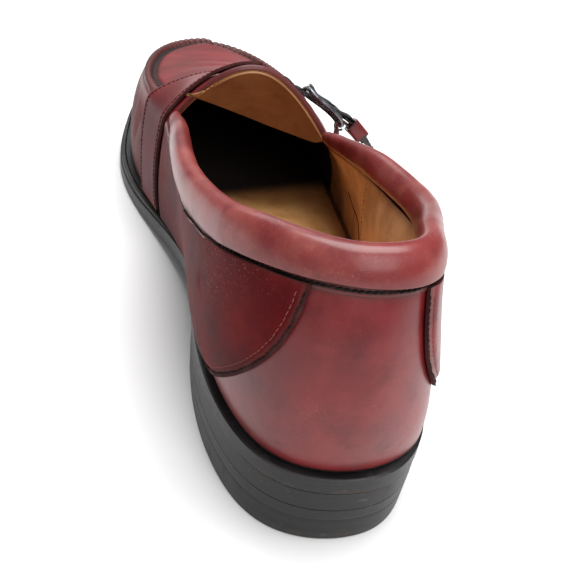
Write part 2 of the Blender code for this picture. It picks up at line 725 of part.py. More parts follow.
def axes(along):
    """Directions down the strap, across it and away from the leather."""
    step = 1.5
    slope = on_course(along + step) - on_course(along - step)
    slope /= np.linalg.norm(slope)
    wide = np.array([read(STRAP_TILT, "lean", along), 1.0, read(STRAP_TILT, "fall", along)])
    wide /= np.linalg.norm(wide)
    outward = np.cross(slope, wide)
    return slope, wide, outward / np.linalg.norm(outward)


def place(along, across, lift):
    """A point by its distance down the strap, its distance forward, and its lift."""
    _, wide, outward = axes(along)
    return on_course(along) + wide * across + outward * lift


def round_lower_bar(radius, angle, across):
    """A point at an angle round the buckle's lower bar, 0 degrees pointing down the strap."""
    slope, _, outward = axes(BUCKLE_LOWER)
    turn = math.radians(angle)
    centre = place(BUCKLE_LOWER, across, LOWER_BAR_LIFT)
    return centre + slope * radius * math.cos(turn) + outward * radius * math.sin(turn)


def rod(name, spots, radius, sides, material, closed=False):
    """A round rod through a row of points."""
    rings = []
    upright = None
    for i in range(len(spots)):
        before = spots[i - 1] if closed or i > 0 else spots[i]
        after = spots[(i + 1) % len(spots)] if closed or i < len(spots) - 1 else spots[i]
        run = (after - before) / np.linalg.norm(after - before)
        if upright is None:
            upright = np.cross(run, [0.3, 0.1, 1.0])
        upright = upright - run * upright.dot(run)
        upright /= np.linalg.norm(upright)
        other = np.cross(run, upright)
        turns = [2.0 * math.pi * step / sides for step in range(sides)]
        rings.append([spots[i] + (upright * math.cos(turn) + other * math.sin(turn)) * radius
                      for turn in turns])
    return loft(name, rings, material, closed)


def braid_height(along, part):
    """How far the crossing strips of the braid stand up; part runs over the width, -1 to 1."""
    if along > BRAID_END:
        return BRAID_RELIEF * 0.5
    phase = along / BRAID_PITCH + 0.5 * abs(part) + (0.5 if part < 0.0 else 0.0)
    return BRAID_RELIEF * abs(math.sin(math.pi * phase))


def braided_strap():
    rings = []
    parts = np.linspace(-1.0, 1.0, 7)
    for along in np.linspace(0.0, COURSE_LENGTHS[-1] - 0.01, STRAP_STEPS):
        half = read(STRAP_WIDTH, "half", along)
        top = []
        for part in parts:
            sunk = BRAID_RELIEF * (1.0 + STRAP_EDGE_DROP * part**2)
            lift = STRAP_THICKNESS - sunk + braid_height(along, part)
            top.append(place(along, half * part, lift))
        under = [place(along, half * part, 0.0) for part in (0.9, 0.0, -0.9)]
        rings.append(top + under)
    return loft("braided_strap", rings, "black_braid")


def frame_lift(along, across):
    """Height of the buckle rod's middle: above the strap at one end, below it at the other."""
    part = (along - BUCKLE_UPPER) / (BUCKLE_LOWER - BUCKLE_UPPER)
    arch = BUCKLE_ARCH * (1.0 - (2.0 * part - 1.0)**2)
    bow = BUCKLE_BOW["upper"] * (1.0 - part) + BUCKLE_BOW["lower"] * part
    edge = (across / BUCKLE_HALF_WIDTH)**4
    return UPPER_BAR_LIFT + (LOWER_BAR_LIFT - UPPER_BAR_LIFT) * part + arch + bow * edge


def subdivide(path, longest):
    """Add points to the straight stretches of a closed path."""
    full = []
    for here, there in zip(path, path[1:] + path[:1]):
        count = max(1, math.ceil(math.dist(here, there) / longest))
        for step in range(count):
            part = step / count
            full.append((here[0] + (there[0] - here[0]) * part, here[1] + (there[1] - here[1]) * part))
    return full


def buckle_frame():
    """A rounded rectangle of rod."""
    half_long = (BUCKLE_LOWER - BUCKLE_UPPER) / 2.0
    middle = (BUCKLE_LOWER + BUCKLE_UPPER) / 2.0
    path = []
    for corner, (u, v) in enumerate(((1, 1), (-1, 1), (-1, -1), (1, -1))):
        for step in range(5):
            angle = math.pi / 2.0 * (corner + step / 4.0)
            along = middle + u * (half_long - BUCKLE_CORNER) + BUCKLE_CORNER * math.cos(angle)
            across = v * (BUCKLE_HALF_WIDTH - BUCKLE_CORNER) + BUCKLE_CORNER * math.sin(angle)
            path.append((along, across))
    spots = [place(u, v, frame_lift(u, v)) for u, v in subdivide(path, 3.0)]
    return rod("buckle_frame", spots, BUCKLE_ROD, 8, "gunmetal", closed=True)


def buckle_prong():
    """Bent round the lower bar, up through the strap, and resting on the upper bar."""
    hug = BUCKLE_ROD + GAP + PRONG_RADIUS
    rest = UPPER_BAR_LIFT + BUCKLE_ROD + GAP + PRONG_RADIUS
    flat = STRAP_THICKNESS + GAP + PRONG_RADIUS
    spots = [round_lower_bar(hug, angle, 0.0) for angle in range(-20, -176, -22)]
    spots += [place(PRONG_HOLE_MIDDLE + along, 0.0, lift) for along, lift in PRONG_RISE]
    spots += [place(along, 0.0, flat) for along in PRONG_LYING]
    spots.append(place(BUCKLE_UPPER + PRONG_BEND["along"], 0.0, rest - PRONG_BEND["drop"]))
    spots.append(place(BUCKLE_UPPER + PRONG_TIP, 0.0, rest))
    return rod("buckle_prong", spots, PRONG_RADIUS, 7, "gunmetal")


def cut(piece, name, path, across, deep):
    """Cut a box-shaped slot through a piece; path holds the slot's ends along the strap."""
    rings = []
    for along in path:
        rings.append([place(along, -across, deep[0]), place(along, across, deep[0]),
                      place(along, across, deep[1]), place(along, -across, deep[1])])
    cutter = loft(name, rings, "black_braid")
    shoe.objects.unlink(cutter)
    cutters.objects.link(cutter)
    cutter.hide_render = True
    cutter.display_type = "WIRE"
    modifier = piece.modifiers.new(name, "BOOLEAN")
    modifier.operation = "DIFFERENCE"
    modifier.solver = "EXACT"
    modifier.object = cutter


def buckle_tab():
    """Outer skin of the folded strip, thickened towards the bar."""
    parts = np.linspace(-1.0, 1.0, 5)
    fold = BUCKLE_ROD + GAP + TAB_THICKNESS
    rows = []
    for climb in np.linspace(TAB_FOOT[0], TAB_FOOT[1], 6):
        row = []
        for part in parts:
            station = station_at(on_course(BUCKLE_LOWER)[1] + TAB_HALF * part)
            row.append(Column(1, station).wall(climb) + wall_normal(1, station, climb) * TAB_LIFT)
        rows.append(row)
    for angle in range(-105, -271, -15):
        rows.append([round_lower_bar(fold, angle, TAB_HALF * part) for part in parts])
    for along in np.linspace(BUCKLE_LOWER + 2.0, TAB_END, 6):
        rows.append([place(along, TAB_HALF * part, -GAP) for part in parts])
    bm = bmesh.new()
    verts = [[bm.verts.new(Vector(spot)) for spot in row] for row in rows]
    for here, there in zip(verts, verts[1:]):
        for a, b, c, d in zip(here, here[1:], there[1:], there):
            bm.faces.new((a, b, c, d))
    bm.faces.ensure_lookup_table()
    bm.normal_update()
    if bm.faces[-1].normal.dot(Vector(place(TAB_END, 0.0, 1.0) - place(TAB_END, 0.0, 0.0))) < 0.0:
        bmesh.ops.reverse_faces(bm, faces=bm.faces)
    bmesh.ops.solidify(bm, geom=bm.verts[:] + bm.edges[:] + bm.faces[:], thickness=TAB_THICKNESS)
    return add_piece("buckle_tab", bm, "burgundy_leather")


def rounded_box(half, low, high, corner):
    """Outline of a box with rounded corners, as (across, lift)."""
    outline = []
    middle = (low + high) / 2.0
    tall = (high - low) / 2.0
    for turn, (u, v) in enumerate(((1, 1), (-1, 1), (-1, -1), (1, -1))):
        for step in range(4):
            angle = math.pi / 2.0 * (turn + step / 3.0)
            outline.append((u * (half - corner) + corner * math.cos(angle),
                            middle + v * (tall - corner) + corner * math.sin(angle)))
    return outline


def keeper():
    """The loop of leather round the strap and the end of the tab."""
    low = -(GAP + TAB_THICKNESS + GAP)
    high = STRAP_THICKNESS + GAP
    half = read(STRAP_WIDTH, "half", KEEPER_ALONG) + GAP
    rings = []
    inner = rounded_box(half, low, high, KEEPER_CORNER)
    outer = rounded_box(half + KEEPER_WALL, low - KEEPER_WALL, high + KEEPER_WALL,
                        KEEPER_CORNER + KEEPER_WALL)
    for (v, lift), (wide_v, wide_lift) in zip(inner, outer):
        ring = []
        for along in (-KEEPER_LENGTH / 2.0, KEEPER_LENGTH / 2.0):
            pair = [(v, lift), (wide_v, wide_lift)]
            for across, height in (pair if along < 0.0 else pair[::-1]):
                ring.append(place(KEEPER_ALONG + along, across, height))
        rings.append(ring)
    return loft("keeper", rings, "burgundy_leather", closed=True)


upper()
quarter("quarter_inner", -1)
quarter("quarter_outer", 1)
outsole()
welt()
heel()
insole()
collar()
saddle_band()
strap = braided_strap()
buckle_frame()
buckle_prong()
tab = buckle_tab()
keeper()
cut(strap, "prong_hole", PRONG_HOLE, PRONG_HOLE_WIDTH / 2.0, (-2.0, 5.0))
cut(tab, "prong_slot", TAB_SLOT, TAB_SLOT_WIDTH / 2.0, (-9.0, -1.0))

# The origin goes under the middle of the shoe's box, on the floor
bpy.context.view_layer.update()
corners = np.array([piece.matrix_world @ Vector(corner)
                    for piece in shoe.objects if piece.type == "MESH" for corner in piece.bound_box])
low, high = corners.min(axis=0), corners.max(axis=0)
origin.location = (-(low[0] + high[0]) / 2.0, -(low[1] + high[1]) / 2.0, -low[2])
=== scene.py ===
# %% [markdown]
# # A loafer, one shoe
# This lesson dresses a packed shoe. The pack gives fifteen solids of the right size in the right
# place. Each step takes one part of the shoe, says what it is on the real thing and how it could
# be made, and then makes it. Everything is in metres, in the frame that the solids already have.

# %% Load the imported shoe
import math

import bmesh
import bpy
import numpy as np
from mathutils import Matrix, Vector
from mathutils.bvhtree import BVHTree
from mathutils.kdtree import KDTree


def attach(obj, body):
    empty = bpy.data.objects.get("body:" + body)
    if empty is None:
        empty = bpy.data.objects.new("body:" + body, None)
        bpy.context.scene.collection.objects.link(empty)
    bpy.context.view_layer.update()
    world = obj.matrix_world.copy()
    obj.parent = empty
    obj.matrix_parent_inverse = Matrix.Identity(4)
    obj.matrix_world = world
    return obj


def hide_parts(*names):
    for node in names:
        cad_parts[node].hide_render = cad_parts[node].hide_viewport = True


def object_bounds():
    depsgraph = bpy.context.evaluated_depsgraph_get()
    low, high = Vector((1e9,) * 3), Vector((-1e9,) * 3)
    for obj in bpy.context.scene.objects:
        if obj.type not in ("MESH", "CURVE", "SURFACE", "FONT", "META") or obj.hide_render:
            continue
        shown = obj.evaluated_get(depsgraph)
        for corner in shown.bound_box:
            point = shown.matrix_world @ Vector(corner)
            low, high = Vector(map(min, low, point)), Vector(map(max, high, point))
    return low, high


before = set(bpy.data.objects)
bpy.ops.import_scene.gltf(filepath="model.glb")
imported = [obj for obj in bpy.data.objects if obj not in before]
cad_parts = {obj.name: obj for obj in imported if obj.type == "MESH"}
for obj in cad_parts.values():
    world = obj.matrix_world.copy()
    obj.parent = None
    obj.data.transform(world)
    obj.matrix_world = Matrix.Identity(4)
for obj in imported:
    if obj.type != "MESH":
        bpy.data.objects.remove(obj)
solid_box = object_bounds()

print("solids:", ", ".join(sorted(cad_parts)))

# %% [markdown]
# ## Measuring like a shoemaker
# A shoemaker measures in millimetres from the back of the heel and up from the floor. Places below
# are written so, as x outward, y forward and z up, and a helper turns them into the frame's.

# %% Shoe measures
MM = 0.001
HEEL_BACK = np.array([-10.164, -150.018, 0.0])
DOWN = Vector((0.0, 0.0, -1.0))


def spot(x, y, z):
    """A place in the frame from shoe measures."""
    return Vector((np.array([x, y, z]) + HEEL_BACK) * MM)


def shoe_measures(place):
    """Shoe measures of a place in the frame."""
    return np.array(place) / MM - HEEL_BACK


print("toe stands", round(shoe_measures(solid_box[1])[1], 1), "mm in front of the heel")

# %% [markdown]
# ## Shader maths as plain Python
# A material is a graph of small nodes. Wiring each by hand hides what the material does, so two
# small classes do the wiring: a Value stands for one number in the graph, and adding or
# multiplying it adds the Math node. A Finish is one material, and its node method makes every
# other kind.

# %% Values and finishes
class Value:
    """One number in a material. Arithmetic on it adds Math nodes."""

    def __init__(self, finish, socket):
        self.finish, self.socket = finish, socket

    def maths(self, operation, *numbers):
        sockets = dict(enumerate(numbers))
        return self.finish.node("ShaderNodeMath", {"operation": operation}, sockets)

    def __add__(self, other):
        return self.maths("ADD", self, other)

    def __sub__(self, other):
        return self.maths("SUBTRACT", self, other)

    def __rsub__(self, other):
        return self.maths("SUBTRACT", other, self)

    def __mul__(self, other):
        return self.maths("MULTIPLY", self, other)

    __radd__, __rmul__ = __add__, __mul__

    def wave(self):
        """A sine with one full wave for each whole number."""
        return self.maths("SINE", self * (2.0 * math.pi))

    def step(self, low, high):
        """0 below low, 1 above high, smooth between."""
        return self.finish.node("ShaderNodeMapRange", {"interpolation_type": "SMOOTHSTEP"},
                                {"Value": self, "From Min": low, "From Max": high})


class Finish:
    """A material in the making."""

    def __init__(self, name):
        self.material = bpy.data.materials.new(name)
        self.material.use_nodes = True
        self.tree = self.material.node_tree
        self.shader = self.tree.nodes["Principled BSDF"]

    def feed(self, socket, value):
        if isinstance(value, Value):
            self.tree.links.new(value.socket, socket)
        else:
            socket.default_value = value

    def node(self, kind, settings, inputs, output=0):
        """Any node: its settings are set first, then its sockets are fed."""
        node = self.tree.nodes.new(kind)
        for name, setting in settings.items():
            setattr(node, name, setting)
        for name, value in inputs.items():
            self.feed(node.inputs[name], value)
        return Value(self, node.outputs[output])

    def places(self, stretch=(1.0, 1.0, 1.0), turn=(0.0, 0.0, 0.0)):
        """Object coordinates in millimetres, turned and then squeezed along each axis."""
        here = self.node("ShaderNodeTexCoord", {}, {}, "Object")
        scale = [1.0 / (MM * part) for part in stretch]
        sockets = {"Vector": here, "Rotation": turn, "Scale": scale}
        return self.node("ShaderNodeMapping", {}, sockets)

    def axis(self, number, where):
        """One of the three numbers of a place."""
        return self.node("ShaderNodeSeparateXYZ", {}, {"Vector": where}, number)

    def noise(self, size, detail=3.0, where=None, rough=0.5):
        """Cloudy variation from 0 to 1, with lumps of about that size in millimetres."""
        return self.node("ShaderNodeTexNoise", {},
                         {"Vector": where or self.places(), "Scale": 1.0 / size, "Detail": detail,
                          "Roughness": rough})

    def cells(self, size):
        """Distance to the nearest of many scattered points, as in the pores of leather."""
        return self.node("ShaderNodeTexVoronoi", {}, {"Vector": self.places(), "Scale": 1.0 / size})

    def painted(self, name):
        """A number painted on the piece's corners."""
        return self.node("ShaderNodeAttribute", {"attribute_name": name}, {}, "Fac")

    def layers(self, tone, *coats):
        """Colours laid one over another in Mix nodes, each as a part from 0 to 1 and a colour."""
        for part, coat in coats:
            tone = self.node("ShaderNodeMix", {"data_type": "RGBA"}, {0: part, 6: tone, 7: coat}, 2)
        return tone

    def relief(self, *heights):
        """Bump nodes, the lowest first, each as a height from 0 to 1 and its millimetres."""
        below = None
        for height, depth in heights:
            sockets = {"Height": height, "Distance": depth * MM, "Strength": 1.0}
            if below:
                sockets["Normal"] = below
            below = self.node("ShaderNodeBump", {}, sockets)
        return below

    def done(self, **sockets):
        """Feed the shader's sockets and hand the material over."""
        for name, value in sockets.items():
            self.feed(self.shader.inputs[name.replace("_", " ")], value)
        return self.material


def colour(red, green, blue):
    """A colour from the 0 to 255 values of a colour picker, made linear for the shader."""
    return (*[((part / 255.0 + 0.055) / 1.055) ** 2.4 for part in (red, green, blue)], 1.0)


print("a new finish starts with", len(Finish("trial").tree.nodes), "nodes")
bpy.data.materials.remove(bpy.data.materials["trial"])

# %% [markdown]
# ## Burgundy leather
# The upper is smooth leather: one dye, rubbed lighter and darker in soft clouds under a glossy
# finish, with fine scratches and pores. Burnished edges are worn to a grey brown, and polish and
# painted shade gather dark in every seam, crease and corner. These follow the seams and not space,
# so they are painted on the mesh, as is painted shade that makes some low and inner parts darker
# and duller. The collar takes a lighter copy of the leather as a painted highlight, and the inner
# side panel a darker, duller copy as painted shade.

# %% Leather finish
# POLISH_AND_SHADE_BLACK is polish and painted shade in seams, WORN_AND_SHADED_BROWN is burnish and
# painted shade, SHADE_RED is painted shade.
POLISH_AND_SHADE_BLACK = colour(20, 13, 12)
WORN_AND_SHADED_BROWN, BLOTCHED = colour(84, 52, 48), colour(62, 12, 16)
SHADE_RED, SCRATCHED = colour(56, 7, 12), colour(182, 120, 112)
SCRATCH_LENGTH, SCRATCH_WIDTH = 60.0, 0.34
SCRATCH_TURNS = {(0.75, 0.0, 0.05): 0.68, (1.52, 0.6, 0.0): 0.70, (0.05, 0.0, 0.8): 0.70}


def leather(name, deep, middle, rubbed, gloss, coat, specular):
    """Smooth dyed leather that reads the painted numbers burnish (burnished wear and painted
    shade), crevice (polish and painted shade in seams) and satin (painted shade on duller leather).
    """
    f = Finish(name)
    clouds = f.noise(38.0, 3.0).step(0.30, 0.70)
    patches = f.noise(13.0, 4.0, rough=0.55).step(0.38, 0.80)
    specks = f.noise(1.8, 3.0).step(0.55, 0.80)
    blotches = f.noise(7.0, 5.0, rough=0.65).step(0.50, 0.78)
    scratches = 0.0
    for turn, reach in SCRATCH_TURNS.items():
        lines = f.noise(SCRATCH_WIDTH, 2.0, f.places((1.0, SCRATCH_LENGTH, 1.0), turn))
        scratches = lines.step(reach - 0.02, reach + 0.04) + scratches
    scratches = scratches * f.noise(24.0, 2.0).step(0.46, 0.66)
    satin, crevice, burnish = (f.painted(part) for part in ("satin", "crevice", "burnish"))
    burnish = burnish * (0.7 + f.noise(1.6, 3.0).step(0.3, 0.7) * 0.3)
    # The last coats lay burnish and painted shade, painted shade on the duller parts, and polish
    # and painted shade in the seams.
    dye = f.layers(deep, (clouds, middle), (patches * 0.40, rubbed), (blotches * 0.42, BLOTCHED),
                   (specks * 0.12, rubbed), (scratches * 0.5, SCRATCHED),
                   (burnish.step(0.05, 1.1), WORN_AND_SHADED_BROWN), (satin * 0.5, SHADE_RED),
                   (crevice.step(0.05, 0.85), POLISH_AND_SHADE_BLACK))
    rough = gloss + patches * 0.08 + blotches * 0.10 + scratches * 0.12 + burnish * 0.2
    skin = f.relief((f.cells(0.62).step(0.0, 0.55), 0.010), (f.noise(4.5, 4.0), 0.05),
                    (f.noise(14.0, 2.0), 0.16), (1.0 - scratches.step(0.0, 1.0), 0.012))
    return f.done(Base_Color=dye, Roughness=rough + crevice * 0.3 + satin * 0.2,
                  Coat_Weight=(1.0 - satin) * (1.0 - burnish * 0.4) * coat, Coat_Roughness=0.20,
                  Specular_IOR_Level=specular, Normal=skin)


burgundy = leather("burgundy_leather", colour(88, 11, 17), colour(124, 22, 27),
                   colour(154, 58, 54), gloss=0.40, coat=0.26, specular=0.36)
# A lighter copy of the leather for the collar roll: a painted highlight.
lit_collar_leather = leather("lit_collar_leather", colour(102, 24, 27), colour(132, 44, 43),
                         colour(180, 104, 94), gloss=0.38, coat=0.36, specular=0.36)
# A darker, duller copy of the leather for the inner side panel: painted shade.
shaded_side_leather = leather("shaded_side_leather", colour(66, 5, 10), colour(92, 10, 15), colour(132, 36, 38),
                       gloss=0.55, coat=0.0, specular=0.08)
print("leather nodes:", len(burgundy.node_tree.nodes))

# %% [markdown]
# ## Working on a copy
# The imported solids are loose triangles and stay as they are. A new piece starts from a copy whose
# corners are merged and whose triangles are paired back into four-sided faces, over which
# Subdivision Surface flows well. A crease tells it how much to hold on to a hard edge.

# %% Copies, creases and fine meshes
TOUCH = 1e-6


def copy_of(node):
    """The solid of that name, merged and back in four-sided faces."""
    bm = bmesh.new()
    bm.from_mesh(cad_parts[node].data)
    bm.edges.layers.float.new("crease_edge")
    bmesh.ops.remove_doubles(bm, verts=bm.verts, dist=TOUCH)
    bmesh.ops.join_triangles(bm, faces=bm.faces, angle_face_threshold=math.pi,
                             angle_shape_threshold=math.pi)
    return bm


def whole(bm):
    """Everything in a mesh, as the bmesh operators want it."""
    return bm.verts[:] + bm.edges[:] + bm.faces[:]


def sharp_edges(bm, degrees):
    """Edges where two faces meet at more than that angle."""
    limit = math.radians(degrees)
    return [edge for edge in bm.edges if edge.is_manifold and edge.calc_face_angle() > limit]


def crease(bm, edges, amount):
    layer = bm.edges.layers.float["crease_edge"]
    for edge in edges:
        edge[layer] = amount


def put_in_scene(name, bm):
    mesh = bpy.data.meshes.new(name)
    bm.to_mesh(mesh)
    bm.free()
    thing = bpy.data.objects.new(name, mesh)
    bpy.context.scene.collection.objects.link(thing)
    return thing


def refined(bm, levels):
    """The shape that Subdivision Surface makes of it, as a mesh that can be worked on further."""
    draft = put_in_scene("draft", bm)
    modifier = draft.modifiers.new("fine", "SUBSURF")
    modifier.levels = modifier.render_levels = levels
    fine = bmesh.new()
    fine.from_object(draft, bpy.context.evaluated_depsgraph_get())
    mesh = draft.data
    bpy.data.objects.remove(draft)
    bpy.data.meshes.remove(mesh)
    return fine


def finish_piece(name, bm, finishes, replaces=(), smooth=40.0):
    """Turn a mesh into a piece of the shoe: finishes, soft shading, and what it stands for."""
    thing = put_in_scene(name, bm)
    for finish in finishes:
        thing.data.materials.append(finish)
    thing.data.shade_smooth()
    thing.data.set_sharp_from_angle(angle=math.radians(smooth))
    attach(thing, "root")
    if replaces:
        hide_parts(*replaces)
    print(name, "has", len(thing.data.polygons), "faces")
    return thing


# %% [markdown]
# ## Seams are lines that can be measured
# Stitches, burnished bands and ridges all follow a seam. A Line keeps a seam as evenly stepped
# points, answers how far any place is from it, and gives the place and direction at any length
# along it. Most seams are read from the hard edges of the copies, so they stay with the shape.

# %% Lines along the seams
LINE_STEP = 0.25 * MM


def lengths_along(places):
    """How far along a path each of its places lies."""
    steps = np.linalg.norm(np.diff(places, axis=0), axis=1)
    return np.concatenate([[0.0], np.cumsum(steps)])


def place_along(at, lengths, places):
    """Places on a path at the given lengths."""
    return np.array([np.interp(at, lengths, places[:, axis]) for axis in range(3)]).T


class Line:
    """A seam: a path with a length, and a way to measure from it."""

    def __init__(self, places, closed=False):
        places = np.array(places)
        if closed:
            places = np.vstack([places, places[:1]])
        lengths = lengths_along(places)
        self.length = lengths[-1]
        self.closed = closed
        self.along = np.arange(0.0, self.length, LINE_STEP)
        self.points = place_along(self.along, lengths, places)
        self.tree = KDTree(len(self.points))
        for i, point in enumerate(self.points):
            self.tree.insert(point, i)
        self.tree.balance()

    def smoothed(self, rounds):
        """The same seam with its corners relaxed."""
        points = self.points.copy()
        for _ in range(rounds):
            before, after = np.roll(points, 1, axis=0), np.roll(points, -1, axis=0)
            if not self.closed:
                before[0], after[0], before[-1], after[-1] = (points[0],) * 2 + (points[-1],) * 2
            points = 0.25 * before + 0.5 * points + 0.25 * after
        return Line(points, self.closed)

    def at(self, along):
        """Place and direction at a length along the seam."""
        i = int(np.clip(along / LINE_STEP, 2, len(self.points) - 3))
        way = self.points[i + 2] - self.points[i - 2]
        return Vector(self.points[i]), Vector(way).normalized()

    def nearest(self, place):
        """How far a place is from the seam, and how far along."""
        _, index, distance = self.tree.find(place)
        return distance, self.along[index]

    def gap(self, place):
        """How far a place is from the seam, in millimetres."""
        return self.nearest(place)[0] / MM

    def beside(self, place, start, end):
        """1 within start of the seam, 0 past end, in millimetres."""
        return fade(self.gap(place), start, end)

    def trace(self, place, half):
        """A soft hump along the seam, about that wide to each side, in millimetres."""
        return hump(self.gap(place), 0.0, half)


def fade(value, start, end):
    """1 before start, 0 past end, smooth between."""
    part = min(max((end - value) / (end - start), 0.0), 1.0)
    return part * part * (3.0 - 2.0 * part)


def hump(value, middle, half):
    return math.exp(-((value - middle) / half) ** 2)


def walk(edges):
    """Sort edges into chains of places, the longest chain first."""
    left = dict.fromkeys(sorted(edges, key=lambda edge: tuple(edge.verts[0].co + edge.verts[1].co)))
    chains = []
    while left:
        edge, _ = left.popitem()
        chain = list(edge.verts)
        for grow_at_end in (True, False):
            while True:
                tip = chain[-1] if grow_at_end else chain[0]
                more = next((e for e in tip.link_edges if e in left), None)
                if more is None:
                    break
                del left[more]
                chain.insert(len(chain) if grow_at_end else 0, more.other_vert(tip))
        chains.append(chain)
    return sorted([[vert.co.copy() for vert in chain] for chain in chains], key=len, reverse=True)


def mean_height(chain):
    return np.mean([place.z for place in chain])


def stretch_between(chain, start, end, by):
    """The part of a closed chain from near start to near end that passes closer by a place."""
    chain = chain[:-1] if (chain[0] - chain[-1]).length < TOUCH else chain
    first, last = (min(range(len(chain)), key=lambda i: (chain[i] - place).length)
                   for place in (start, end))
    count = len(chain)
    ways = [[chain[(first + way * i) % count] for i in range(way * (last - first) % count + 1)]
            for way in (1, -1)]
    return min(ways, key=lambda way: min((place - by).length for place in way))


def corners_of(bm, index):
    """The corners of one finish's faces."""
    return {vert for face in bm.faces if face.material_index == index for vert in face.verts}


def paint(bm, **amounts):
    """Paint numbers on each corner, worked out from its place."""
    for name, amount in amounts.items():
        layer = bm.verts.layers.float.get(name) or bm.verts.layers.float.new(name)
        for vert in bm.verts:
            vert[layer] = max(vert[layer], amount(vert.co))


def skin_of(bm, index=0):
    """A tree of one finish's faces, to ask for the nearest place on them."""
    bm.verts.index_update()
    faces = [[vert.index for vert in face.verts] for face in bm.faces
             if face.material_index == index]
    return BVHTree.FromPolygons([vert.co for vert in bm.verts], faces)


def shifted(line, skin, distance, toward):
    """The seam moved sideways over the skin, by millimetres, to the side where toward is."""
    moved = []
    for i in range(0, len(line.points), 2):
        point, way = line.at(line.along[i])
        outward = skin.find_nearest(point)[1]
        side = outward.cross(way).normalized()
        if side.dot(toward - point) < 0.0:
            side = -side
        moved.append(skin.find_nearest(point + side * distance * MM)[0])
    return Line(moved, line.closed)


# %% [markdown]
# ## Stitches
# A stitch is a short thread that comes up through the leather, lies on it and goes back down. One
# is made from a small ball, and every stitch of a row is stamped from it in one mesh, drawn out,
# sunk and turned to the seam. A slow wave in length and tilt keeps the row from looking
# machine-drawn.

# %% One stitch and a row of stitches
def one_stitch():
    bm = bmesh.new()
    bmesh.ops.create_uvsphere(bm, u_segments=6, v_segments=5, radius=0.5,
                              matrix=Matrix.Rotation(math.pi / 2.0, 4, "Y"))
    corners = np.array([vert.co for vert in bm.verts])
    faces = [[vert.index for vert in face.verts] for face in bm.faces]
    bm.free()
    return corners, faces


STITCH_CORNERS, STITCH_FACES = one_stitch()
STITCH_TILT, STITCH_WAVE = 5.0, 0.08
# A kind of stitch is its pitch, length and width in millimetres, and the lap's adds its sink.
WELT_STITCH, PANEL_STITCH, SECOND_STITCH = (2.3, 2.2, 0.8), (1.75, 1.9, 0.60), (1.75, 1.45, 0.26)
COLLAR_STITCH, WORN_STITCH, BAND_STITCH = (1.7, 1.75, 0.75), (1.8, 1.25, 0.42), (1.9, 1.5, 0.45)
FINE_STITCH, LINING_STITCH, LAP_STITCH = (1.9, 1.5, 0.5), (2.0, 1.4, 0.5), (1.2, 1.5, 0.6, 0.5)


def stamp(name, places, finish):
    """Stamp a stitch at each place, given as its middle, its direction, outward and its size."""
    corners, faces = [], []
    for middle, way, outward, size in places:
        side = outward.cross(way).normalized()
        turn = np.array([way, side, way.cross(side)])
        corners.append(np.array(middle) + (STITCH_CORNERS * np.array(size)) @ turn)
        base = len(STITCH_CORNERS) * (len(corners) - 1)
        faces += [[base + index for index in face] for face in STITCH_FACES]
    mesh = bpy.data.meshes.new(name)
    mesh.from_pydata(np.vstack(corners), [], faces)
    bm = bmesh.new()
    bm.from_mesh(mesh)
    bpy.data.meshes.remove(mesh)
    bmesh.ops.recalc_face_normals(bm, faces=bm.faces)
    return finish_piece(name, bm, [finish], (), 80.0)


def stitches_along(line, skin, pitch, length, width, sink=0.1, turn=0.0, start=1.0, end=1.0):
    """Stitches on a seam, laid on the skin nearest to it. Sizes are in millimetres."""
    places = []
    count = int((line.length - (start + end) * MM) / (pitch * MM))
    for i in range(count):
        point, way = line.at(start * MM + (i + 0.5) * pitch * MM)
        ground, outward, _, _ = skin.find_nearest(point)
        tilt = math.radians(turn + STITCH_TILT * math.sin(2.1 * i))
        way = Matrix.Rotation(tilt, 3, outward) @ way
        way = (way - outward * way.dot(outward)).normalized()
        size = np.array([length * (1.0 + STITCH_WAVE * math.sin(1.3 * i)), width, width]) * MM
        places.append((ground + outward * (0.5 - sink) * width * 0.5 * MM, way, outward, size))
    return places


def thread(name, tone, gloss=0.7):
    """Waxed thread: a fine twist across a plain tone."""
    f = Finish(name)
    twist = f.noise(0.35, 2.0)
    tone_worn = f.layers(tone, (f.noise(6.0).step(0.4, 0.8) * 0.25, colour(110, 76, 70)))
    return f.done(Base_Color=tone_worn, Roughness=gloss + twist * 0.2, Specular_IOR_Level=0.15,
                  Normal=f.relief((twist, 0.05)))


black_thread = thread("black_thread", colour(24, 16, 16))
wine_thread = thread("wine_thread", colour(70, 22, 24))
pale_thread = thread("pale_thread", colour(186, 142, 88))
worn_thread = thread("worn_thread", colour(132, 80, 73))
dyed_edge = thread("dyed_edge", colour(62, 30, 29), 0.85)
print("one stitch has", len(STITCH_FACES), "faces")

# %% [markdown]
# ## Sole and heel
# The outsole is one slab with a hard edge, blackened with edge ink. The heel is a stack of lifts
# under it, and its edge shows the joints as faint level lines. Creases hold the edges. A joint
# within a lift is a real groove, cut by slicing it level three times and pulling the middle slice
# in.

# %% Edge ink and worn rubber
DULL_BLACK, DUST, SCUFF = colour(38, 37, 39), colour(96, 93, 90), colour(104, 99, 94)
JOINT_BLACK = colour(16, 15, 15)


